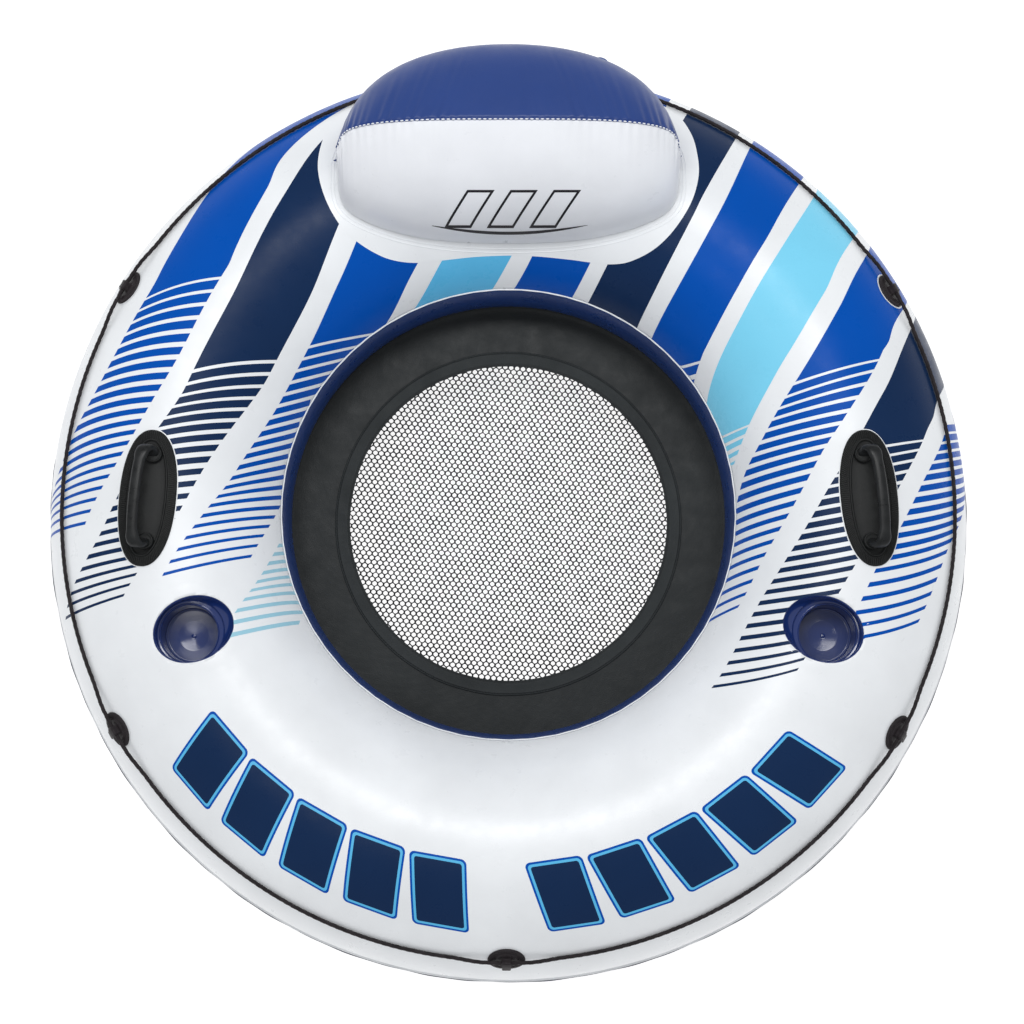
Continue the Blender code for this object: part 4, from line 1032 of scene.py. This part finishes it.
def makeHandle(side):
    turn, lift, twist = handlePlace(side)
    label = "Right" if side > 0 else "Left"
    count = handle["ribs"] * handle["perRib"]
    length, width, plate, border = handle["length"], handle["width"], handle["plate"], handle["border"]
    phase = np.arange(count) % handle["perRib"]
    tooth = (phase < handle["perRib"] / 2).astype(float)

    def outline(inset, height, ribs=0.0):
        spots = evenOval(length / 2 - inset, width / 2 - inset, handle["squareness"], count)
        return np.concatenate([spots, (height + ribs * handle["ribHeight"] * tooth)[:, None]], axis=1)

    top, lip = handle["lipHeight"], border + handle["lip"]
    loops = [outline(*station) for station in (
        (width * 0.47, 0.0), (0.0, 0.0), (-0.0001, plate * 0.45), (0.0007, plate * 0.8), (0.0016, plate),
        (0.0019, plate - 0.0002, 1.0), (border - 0.0024, plate, 1.0), (border - 0.0020, plate - 0.0002),
        (border - 0.0010, plate), (border - 0.0003, top - 0.0010), (border + 0.0002, top - 0.0001),
        ((border + lip) / 2, top), (lip - 0.0002, top - 0.0002), (lip + 0.0003, top - 0.0012),
        (lip + 0.0009, plate + 0.0003), (lip + 0.0020, plate), (lip + 0.0100, plate), (width * 0.40, plate),
        (width * 0.47, plate))]
    mesh = gridMesh("base", np.array(loops), loopCols=True)
    faceOut(capped(mesh, count))
    base = addPiece("handleBase" + label, wrapMesh(mesh, turn, lift, twist), "handle", "handle_rubber",
                    "handle_base_" + label.lower(), sharp=48)
    base.data.validate()

    # the bar: a flattened strap that grows out of a boss at each end and bows outward between
    route = [(-0.0600, 0.0045, 0.0040), (-0.0640, 0.0036, 0.0120), (-0.0672, 0.0012, 0.0196),
             (-0.0668, -0.0022, 0.0264), (-0.0610, -0.0052, 0.0312), (-0.0460, -0.0074, 0.0334),
             (-0.0230, -0.0087, 0.0343), (0.0, -0.0090, 0.0346)]
    route += [(-x, y, z) for x, y, z in reversed(route[:-1])]
    path = along(route, np.linspace(0, len(route) - 1, 160))
    toEnd = smoothStep((np.abs(path[:, 0]) - 0.046) / 0.014)
    half = handle["barHalf"] + (handle["barEndHalf"] - handle["barHalf"]) * toEnd
    bar = strapAlong(path, half, np.full(len(path), handle["barThick"]))
    addPiece("handleGrip" + label, wrapMesh(bar, turn, lift, twist), "grip", "grip_rubber",
             "handle_grip_" + label.lower(), sharp=180)

    bosses = []
    angle = np.linspace(0, 2 * math.pi, handle["bossSides"], endpoint=False)
    middle, radius = handle["bossPlace"], handle["bossRadius"]
    stations = ((radius + 0.0006, plate - 0.0010), (radius + 0.0002, 0.0060), (radius, 0.0104),
                (radius - 0.0005, 0.0120), (radius - 0.0013, 0.0125), (radius - 0.0022, 0.0122),
                (radius - 0.0027, 0.0112), (0.0050, 0.0108), (0.0004, 0.0108))
    for end in (1, -1):
        spots = [np.stack([end * middle[0] + reach * np.cos(angle), middle[1] + reach * np.sin(angle),
                           np.full(len(angle), height)], axis=-1) for reach, height in stations]
        boss = capped(gridMesh("boss", np.array(spots), loopCols=True), len(angle))
        bosses.append(wrapMesh(faceOut(boss), turn, lift, twist))
    addPiece("handleBosses" + label, joinMeshes("handleBosses", bosses), "handle", "handle_rubber", sharp=55)


def strapAlong(path, half, thick, sides=32):
    # a flattened bar whose width lies across the plane it bends in
    ahead = np.gradient(path, axis=0)
    ahead /= np.linalg.norm(ahead, axis=1, keepdims=True)
    across = np.array([0.0, 1.0, 0.0]) - ahead * ahead[:, 1:2]
    across /= np.linalg.norm(across, axis=1, keepdims=True)
    upward = np.cross(ahead, across)
    angle = np.linspace(0, 2 * math.pi, sides, endpoint=False)
    wide = half[:, None] * signedPower(np.cos(angle), 0.8)[None, :]
    deep = thick[:, None] * signedPower(np.sin(angle), 0.8)[None, :]
    points = path[:, None, :] + across[:, None, :] * wide[..., None] + upward[:, None, :] * deep[..., None]
    return faceOut(capped(gridMesh("strap", points, loopCols=True), sides))


makeHandle(1)
makeHandle(-1)
print("handles ready")


# ---- grab rope and its retainers

def ropeHeight(turn):
    step = 2 * math.pi / retainer["count"]
    off = np.abs((turn - retainerTurn(0) + step / 2) % step - step / 2)
    walk = off * (ring["radius"] + ring["tube"] * math.cos(math.radians(rope["lift"])))
    ease = smoothStep((walk - retainer["length"] / 2 - 0.004) / 0.05)
    return rope["high"] + (rope["low"] - rope["high"]) * ease


def makeRope():
    turn = np.linspace(0, 2 * math.pi, rope["steps"], endpoint=False)
    lift = math.radians(rope["lift"])
    path = onRing(turn, np.full(turn.shape, lift), ropeHeight(turn))
    walk = turn * np.hypot(path[:, 0], path[:, 1]).mean()
    count = round(walk[-1] / rope["plaitLength"])
    cycle = turn * count
    angle = np.linspace(0, 2 * math.pi, rope["sides"], endpoint=False)
    plaits = rope["plaits"]
    one = np.cos(plaits * angle[None, :] + cycle[:, None])
    two = np.cos(plaits * angle[None, :] - cycle[:, None])
    lumps = np.maximum(one, two)
    radius = rope["radius"] - rope["lump"] * 0.7 + rope["lump"] * lumps
    addPiece("grabRope", tubeAlong(path, radius, rope["sides"], closed=True), "rope", "rope_braid",
             "grab_rope", sharp=180)


def retainerMesh():
    ribs, per = retainer["ribs"], 6
    count = ribs * per
    angle = np.linspace(0, 2 * math.pi, count, endpoint=False)
    tooth = ((np.arange(count) % per) < per / 2).astype(float)
    halfLong, halfWide, plate = retainer["length"] / 2, retainer["width"] / 2, retainer["plate"]

    def oval(share, height, raised=0.0):
        return np.stack([halfLong * share * np.cos(angle), halfWide * share * np.sin(angle),
                         height + raised * retainer["ribHeight"] * tooth], axis=-1)

    loops = [oval(*station) for station in (
        (0.1, 0.0), (0.99, 0.0), (1.0, plate * 0.4), (0.985, plate * 0.85), (0.96, plate), (0.945, plate, 1.0),
        (0.72, plate + 0.0003, 1.0), (0.70, plate - 0.0001), (0.66, plate + 0.0002), (0.63, plate + 0.0010),
        (0.58, plate + 0.0011), (0.55, plate + 0.0002), (0.4, plate), (0.1, plate))]
    mesh = faceOut(capped(gridMesh("plate", np.array(loops), loopCols=True), count))

    # the tunnel block: a rounded outline with a round hole, drawn along the rope
    level, hole, half = rope["high"] - 0.0006, rope["radius"] + 0.0007, retainer["blockHalf"]
    around = np.linspace(0, 2 * math.pi, retainer["sides"], endpoint=False)
    outer = np.stack([half * signedPower(np.cos(around), 0.45),
                      level + half * signedPower(np.sin(around), 0.45)], axis=-1)
    outer[:, 0] *= 1 + 0.22 * smoothStep((level - outer[:, 1]) / half)
    outer[:, 1] = np.maximum(outer[:, 1], plate * 0.4)
    inner = np.stack([hole * np.cos(around), level + hole * np.sin(around)], axis=-1)
    ends = retainer["blockLength"] / 2
    sections = []
    for x, shape, share in ((-ends + 0.0005, inner, 1.0), (-ends, inner, 1.12), (-ends, outer, 0.86),
                            (-ends + 0.0012, outer, 1.0), (-0.004, outer, 1.0), (-0.0034, outer, 0.94),
                            (0.0034, outer, 0.94), (0.004, outer, 1.0), (ends - 0.0012, outer, 1.0),
                            (ends, outer, 0.86), (ends, inner, 1.12), (ends - 0.0005, inner, 1.0)):
        flat = (shape - (0, level)) * share + (0, level)
        sections.append(np.concatenate([np.full((len(around), 1), x), flat], axis=1))
    block = faceOut(gridMesh("block", np.array(sections), loopRows=True, loopCols=True))

    # the clasp's band, from inside the rope, under the tunnel and out past the plate as a pull tab
    wide, reach = retainer["bandWidth"] / 2, retainer["tabLength"]
    start, stop = retainer["bandStart"], -halfWide
    stations = [(start, 0.7, 0.6, 1.1), (start - 0.0008, 0.95, 0.5, 1.4)]
    stations += [(y, 1.0, 0.5, 1.5) for y in np.linspace(start - 0.002, stop + 0.003, 9)]
    stations += [(stop, 1.0, 0.25, 1.35), (stop - reach * 0.6, 1.0, 0.25, 1.2),
                 (stop - reach * 0.9, 0.9, 0.35, 1.0), (stop - reach, 0.75, 0.5, 0.8)]
    rows = []
    for y, share, low, high in stations:
        level = (low + high) / 2 + (high - low) / 2 * signedPower(np.sin(around), 0.5)
        rows.append(np.stack([wide * share * signedPower(np.cos(around), 0.3), np.full(len(around), y),
                              plate * level], axis=-1))
    band = faceOut(capped(gridMesh("band", np.array(rows), loopCols=True), len(around)))
    return joinMeshes("retainer", [mesh, block, band])


def makeRetainers():
    shape = retainerMesh()
    for index in range(retainer["count"]):
        mesh = wrapMesh(shape.copy(), retainerTurn(index), math.radians(rope["lift"]))
        name = str(index + 1)
        addPiece("ropeRetainer" + name, mesh, "retainer", "retainer_rubber", "rope_retainer_" + name,
                 sharp=50)


makeRope()
makeRetainers()
print("rope and retainers ready")


# ---- backrest pillow

pillow = {
    "halfWidth": 0.243,
    "middle": 0.507,
    "frontDepth": 0.12706,
    "backDepth": 0.13408,
    "top": 0.497,
    "liftOff": 0.0012,
    "frontSquareness": 3.4,
    "backSquareness": 2.1,
    "archSquareness": 3.4,
    "ridge": 70.0,
    "tuck": 48.0,
    "bulge": 0.48,
    "endWrap": 0.022,            # the ends follow the ring round, the foot sooner than the ridge
    "footWrapPower": 6,
    "ridgeWrapPower": 24,
    "columns": 300,
    "rows": 60,
    "pucker": 0.0052,
    "gather": 0.0058,
    # count of white dashes along the ridge seam, a painted highlight
    "highlightDashes": 96,
    "scallops": 58,
}


def skinLevel(x, y, above):
    aside = np.hypot(x, y) - ring["radius"]
    return ring["height"] + np.sqrt(np.maximum((ring["tube"] + above) ** 2 - aside ** 2, 1e-6))


def pillowBase(angle, depth, squareness):
    x = pillow["halfWidth"] * signedPower(np.cos(angle), 2 / squareness)
    y = pillow["middle"] + depth * np.abs(np.sin(angle)) ** (2 / squareness)
    y = y - pillow["endWrap"] * np.abs(np.cos(angle)) ** pillow["footWrapPower"]
    return np.stack([x, y, skinLevel(x, y, pillow["liftOff"])], axis=-1)


def pillowRidge(angle):
    x = pillow["halfWidth"] * signedPower(np.cos(angle), 2 / pillow["archSquareness"])
    y = pillow["middle"] - pillow["endWrap"] * np.abs(np.cos(angle)) ** pillow["ridgeWrapPower"]
    low = skinLevel(x, y, pillow["liftOff"])
    rise = np.abs(np.sin(angle)) ** (2 / pillow["archSquareness"])
    return np.stack([x, y, low + (pillow["top"] - low) * rise], axis=-1)


def frontPoint(angle, rise):
    base = pillowBase(angle, -pillow["frontDepth"], pillow["frontSquareness"])
    ridge = pillowRidge(angle)
    limit = math.radians(pillow["ridge"])
    swing = limit * rise
    out = ((np.cos(swing) - math.cos(limit)) / (1 - math.cos(limit)))[..., None]
    point = ridge + (base - ridge) * out
    point[..., 2] = base[..., 2] + (ridge[..., 2] - base[..., 2]) * np.sin(swing) / math.sin(limit)
    return point


def backPoint(angle, swing):
    limit, tuck = math.radians(pillow["ridge"]), math.radians(pillow["tuck"])
    base = pillowBase(angle, pillow["backDepth"] * math.cos(tuck), pillow["backSquareness"])
    full = pillowBase(angle, pillow["backDepth"], pillow["backSquareness"])
    ridge = pillowRidge(angle)
    level = base[..., 2] + (ridge[..., 2] - base[..., 2]) * pillow["bulge"]
    low = swing < 0
    spread = ((np.cos(swing) - math.cos(tuck)) / (1 - math.cos(tuck)))[..., None]
    out = ((np.cos(swing) - math.cos(limit)) / (1 - math.cos(limit)))[..., None]
    point = np.where(low[..., None], base + (full - base) * spread, ridge + (full - ridge) * out)
    point[..., 2] = np.where(low, level + (base[..., 2] - level) * np.sin(-swing) / math.sin(tuck),
                             level + (ridge[..., 2] - level) * np.sin(swing) / math.sin(limit))
    return point


def gridNormals(points):
    rowWay, colWay = np.gradient(points, axis=0), np.gradient(points, axis=1)
    normal = np.cross(rowWay, colWay)
    return normal / np.maximum(np.linalg.norm(normal, axis=-1, keepdims=True), 1e-9)


def puckers(walk, share, seed):
    # gathers that run away from the ridge seam, crowded and deep towards the pillow's two ends
    ends = smoothStep((np.abs(share - 0.5) * 2 - 0.45) / 0.5)
    fine = waves(walk * 2 * math.pi, seed, 26, 60, 10)
    broad = waves(walk * 2 * math.pi, seed + 1, 11, 26, 6)
    return (0.35 + 0.9 * ends) * pillow["pucker"] * fine * 1.6 + ends * pillow["gather"] * broad


def makePillow():
    angle = np.linspace(0.004, math.pi - 0.004, pillow["columns"])[:, None]
    share = angle / math.pi
    rise = np.linspace(0, 1, pillow["rows"])[None, :]
    ridgePath = pillowRidge(angle[:, 0])
    walk = np.concatenate([[0], np.cumsum(np.linalg.norm(np.diff(ridgePath, axis=0), axis=1))])
    walk = (walk / walk[-1])[:, None]
    scallop = 0.0007 * np.abs(np.sin(walk * math.pi * pillow["scallops"]))

    front = frontPoint(angle, rise)
    fromSeam = (1 - rise) * 0.16
    fade = np.exp(-fromSeam / 0.017) * smoothStep(fromSeam / 0.004) + 0.25 * np.exp(-fromSeam / 0.05)
    nearSeam = np.exp(-fromSeam / 0.003)
    normal = gridNormals(front)
    out = -normal if normal[150, 20][1] > 0 else normal
    front = front + out * (puckers(walk, share, 31) * fade)[..., None] * (rise < 1)[..., None]
    front[..., 2] -= (scallop * nearSeam)
    frontMesh = gridMesh("pillowFront", front)
    piece = addPiece("pillowFront", faceAway(frontMesh), "pillowWhite", "pillow_white_vinyl",
                     "pillow_front_panel", thick=ring["sheet"])

    limit, tuck = math.radians(pillow["ridge"]), math.radians(pillow["tuck"])
    swing = -tuck + (limit + tuck) * rise
    back = backPoint(angle, swing)
    fromSeam = (1 - rise) * 0.22
    fade = np.exp(-fromSeam / 0.022) * smoothStep(fromSeam / 0.004) + 0.25 * np.exp(-fromSeam / 0.06)
    normal = gridNormals(back)
    out = -normal if normal[150, 20][1] < 0 else normal
    back = back + out * (puckers(walk, share, 47) * fade)[..., None] * (rise < 1)[..., None]
    back[..., 2] -= scallop * np.exp(-fromSeam / 0.003)
    piece = addPiece("pillowBack", faceAway(gridMesh("pillowBack", back)), "pillowBlue",
                     "pillow_blue_vinyl", "pillow_back_panel", thick=ring["sheet"])

    # the ridge weld: a thin flange with a scalloped edge
    wavy = 0.0014 + 0.0006 * np.abs(np.sin(walk[:, 0] * math.pi * pillow["scallops"]))
    wavy = wavy + 0.0004 * waves(walk[:, 0] * 6.28, 9, 20, 90, 6)
    lean = 0.0007 * waves(walk[:, 0] * 6.28, 13, 14, 70, 6)
    flange = []
    for across, upward in ((-0.0012, -0.0010), (-0.0011, 0.8), (0.0011, 0.8), (0.0012, -0.0010)):
        spot = ridgePath.copy()
        rising = wavy * upward if upward > 0 else np.full(len(spot), upward)
        spot[:, 1] += across + lean * (upward > 0)
        spot[:, 2] += rising
        flange.append(spot)
    flange = np.stack(flange, axis=1)
    seam = faceOut(gridMesh("pillowSeam", flange, loopCols=True))
    addPiece("pillowSeam", seam, "pillowBlue", "pillow_white_vinyl")

    # raised dashes along the top of the flange, made in white vinyl on the blue flange as a painted highlight
    # along the seam
    highlightDashes = []
    length = np.concatenate([[0], np.cumsum(np.linalg.norm(np.diff(ridgePath, axis=0), axis=1))])
    for k in range(pillow["highlightDashes"]):
        spots = np.linspace(k + 0.2, k + 0.8, 4) / pillow["highlightDashes"] * length[-1]
        path = np.stack([np.interp(spots, length, ridgePath[:, axis]) for axis in range(3)], axis=-1)
        highlightDashes.append(tubeAlong(path + np.array([0, -0.0006, 0.0016]), [0.0006, 0.0010, 0.0010, 0.0006], 6))
    addPiece("pillowSeamHighlights", joinMeshes("pillowSeamHighlights", highlightDashes), "pillowWhite", "pillow_white_vinyl")
    return front, back


def faceAway(mesh):
    # open panels: faces look away from the pillow's middle
    middle = Vector((0, pillow["middle"], 0.40))
    work = bmesh.new()
    work.from_mesh(mesh)
    total = sum(face.normal.dot(face.calc_center_median() - middle) * face.calc_area() for face in work.faces)
    if total < 0:
        bmesh.ops.reverse_faces(work, faces=work.faces)
    work.to_mesh(mesh)
    work.free()
    return mesh


frontPanel, backPanel = makePillow()

# two pressed weld lines on the ring round the pillow's foot
footWeld = {"gaps": (0.006, 0.0105), "radius": 0.00075}


def makeFootWeld():
    angle = np.linspace(0, 2 * math.pi, 360, endpoint=False)
    meshes = []
    for gap in footWeld["gaps"]:
        front = pillowBase(angle, -(pillow["frontDepth"] + gap), pillow["frontSquareness"])
        back = pillowBase(angle, pillow["backDepth"] * math.cos(math.radians(pillow["tuck"])) + gap,
                          pillow["backSquareness"])
        plan = np.where((np.sin(angle) < 0)[:, None], front, back)[:, :2]
        plan[:, 0] *= 1 + gap / pillow["halfWidth"]
        meshes.append(tubeAlong(overSkin(plan[:, 0], plan[:, 1], 0.0003), footWeld["radius"], 8, closed=True))
    addPiece("pillowFootWeld", joinMeshes("pillowFootWeld", meshes), "skin", "printed_vinyl")


makeFootWeld()
print("pillow ready")


# ---- plain motif on the pillow: three slanted outlined bars over a thin swoosh

motif = {
    "shifts": (-0.055, 0.005, 0.065),
    "halfWidth": 0.019,
    "halfHeight": 0.0225,
    "slant": 0.75,
    "line": 0.0031,
    "level": 0.4550,             # where sight lines through the bars' middle meet the ground
    "swoosh": 0.0280,            # below that
}


def makeMotif():
    tree = BVHTree.FromPolygons([tuple(p) for p in frontPanel.reshape(-1, 3)],
                                [tuple(f.vertices) for f in bpy.data.objects["pillowFront"].data.polygons])
    ahead = Vector((0, math.sin(math.radians(7)), -math.cos(math.radians(7))))

    def drop(points):
        placed = []
        for x, y in points:
            start = Vector((x, y, 0)) - ahead * 0.9
            hit, normal, _, _ = tree.ray_cast(start, ahead, 2.0)
            if hit is None:
                hit, normal, _, _ = tree.find_nearest(Vector((x, y, 0.4)))
            if normal.z < 0:
                normal = -normal
            placed.append(tuple(hit + normal * 0.00025))
        return np.array(placed)

    meshes = []
    base = motif["level"]
    w, h, line = motif["halfWidth"], motif["halfHeight"], motif["line"]
    corners = [(-w, -h), (w, -h), (w, h), (-w, h)]
    inner = [(-w + line * 1.25, -h + line), (w - line * 1.25, -h + line),
             (w - line * 1.25, h - line), (-w + line * 1.25, h - line)]
    for shift in motif["shifts"]:
        loops = []
        for outline in (corners, inner):
            loop = []
            for k in range(4):
                a, b = np.array(outline[k]), np.array(outline[(k + 1) % 4])
                for t in np.linspace(0, 1, 16, endpoint=False):
                    s = a + (b - a) * t
                    loop.append((shift + s[0] + motif["slant"] * s[1], base + s[1]))
            loops.append(drop(loop))
        meshes.append(gridMesh("bar", np.array(loops), loopCols=True))
    across = np.linspace(-0.108, 0.112, 90)
    curve = base - motif["swoosh"] + 0.0085 * (across / 0.11) ** 2
    thick = 0.0016 * (1 - (np.abs(across) / 0.115) ** 3)
    rows = [drop(list(zip(across, curve + thick))), drop(list(zip(across, curve - thick)))]
    meshes.append(gridMesh("swoosh", np.array(rows)))
    mesh = joinMeshes("pillowMotif", meshes)
    addPiece("pillowMotif", faceAway(mesh), "motif", "pillow_white_vinyl")


makeMotif()


# ---- valves keep their shapes and take better finishes

for node in ("ring_valve_base", "ring_valve_stem", "ring_valve_plug"):
    for slotIndex in range(len(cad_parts[node].material_slots)):
        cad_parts[node].material_slots[slotIndex].material = finishes["valve"]
for node in ("pillow_valve_base", "pillow_valve_stem", "pillow_valve_plug"):
    for slotIndex in range(len(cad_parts[node].material_slots)):
        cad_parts[node].material_slots[slotIndex].material = finishes["valveBlue"]
print("motif and valves ready")


# ---- floor, light and camera

studio = {
    "floorSize": 60.0,
    "floorColour": 0.36,
    "floorGlow": 0.90,
    "worldLight": 0.56,
    "keyPlace": (0.0, 0.95, 3.4),
    "keySize": (2.2, 0.6),
    "keyPower": 50.0,
    "fillPlace": (-0.9, -0.6, 3.9),
    "fillSize": (0.9, 0.9),
    "fillPower": 11.0,
    "aim": (0.0, 0.0, 0.2),      # where both softboxes point
    "cameraPlace": (0.0, -0.4265, 3.6439),
    "cameraTilt": 7.0,
    "lens": 83.4,
    "shift": (0.0035, 0.0046),
}


def makeStudio():
    half = studio["floorSize"] / 2
    ground = meshOf("ground", [(-half, -half, -0.0005), (half, -half, -0.0005), (half, half, -0.0005),
                               (-half, half, -0.0005)], [(0, 1, 2, 3)])
    backdrop = bpy.data.objects.new("ground", ground)
    scene.collection.objects.link(backdrop)
    paper, _, _, shader = startFinish("paleFloor", (studio["floorColour"],) * 3, 0.9, specular=0.1)
    shader.inputs["Emission Color"].default_value = (1, 1, 1, 1)
    shader.inputs["Emission Strength"].default_value = studio["floorGlow"]
    ground.materials.append(paper)

    sky = bpy.data.worlds.new("studio")
    sky.use_nodes = True
    sky.node_tree.nodes["Background"].inputs["Color"].default_value = (0.985, 0.99, 1.0, 1)
    sky.node_tree.nodes["Background"].inputs["Strength"].default_value = studio["worldLight"]
    scene.world = sky
    for name, label in (("key", "keySoftbox"), ("fill", "fillSoftbox")):
        lamp = bpy.data.lights.new(label, "AREA")
        lamp.shape = "RECTANGLE"
        lamp.size, lamp.size_y = studio[name + "Size"]
        lamp.energy = studio[name + "Power"]
        lit = bpy.data.objects.new(label, lamp)
        scene.collection.objects.link(lit)
        lit.location = studio[name + "Place"]
        aim = Vector(studio["aim"]) - lit.location
        lit.rotation_euler = aim.to_track_quat("-Z", "Y").to_euler()

    lens = bpy.data.cameras.new("camera")
    lens.lens = studio["lens"]
    lens.sensor_width = 36
    lens.shift_x, lens.shift_y = studio["shift"]
    viewer = bpy.data.objects.new("camera", lens)
    viewer.location = studio["cameraPlace"]
    viewer.rotation_euler = (math.radians(studio["cameraTilt"]), 0, 0)
    scene.collection.objects.link(viewer)
    scene.camera = viewer
    scene.view_settings.view_transform = "Standard"


makeStudio()
print("studio ready")
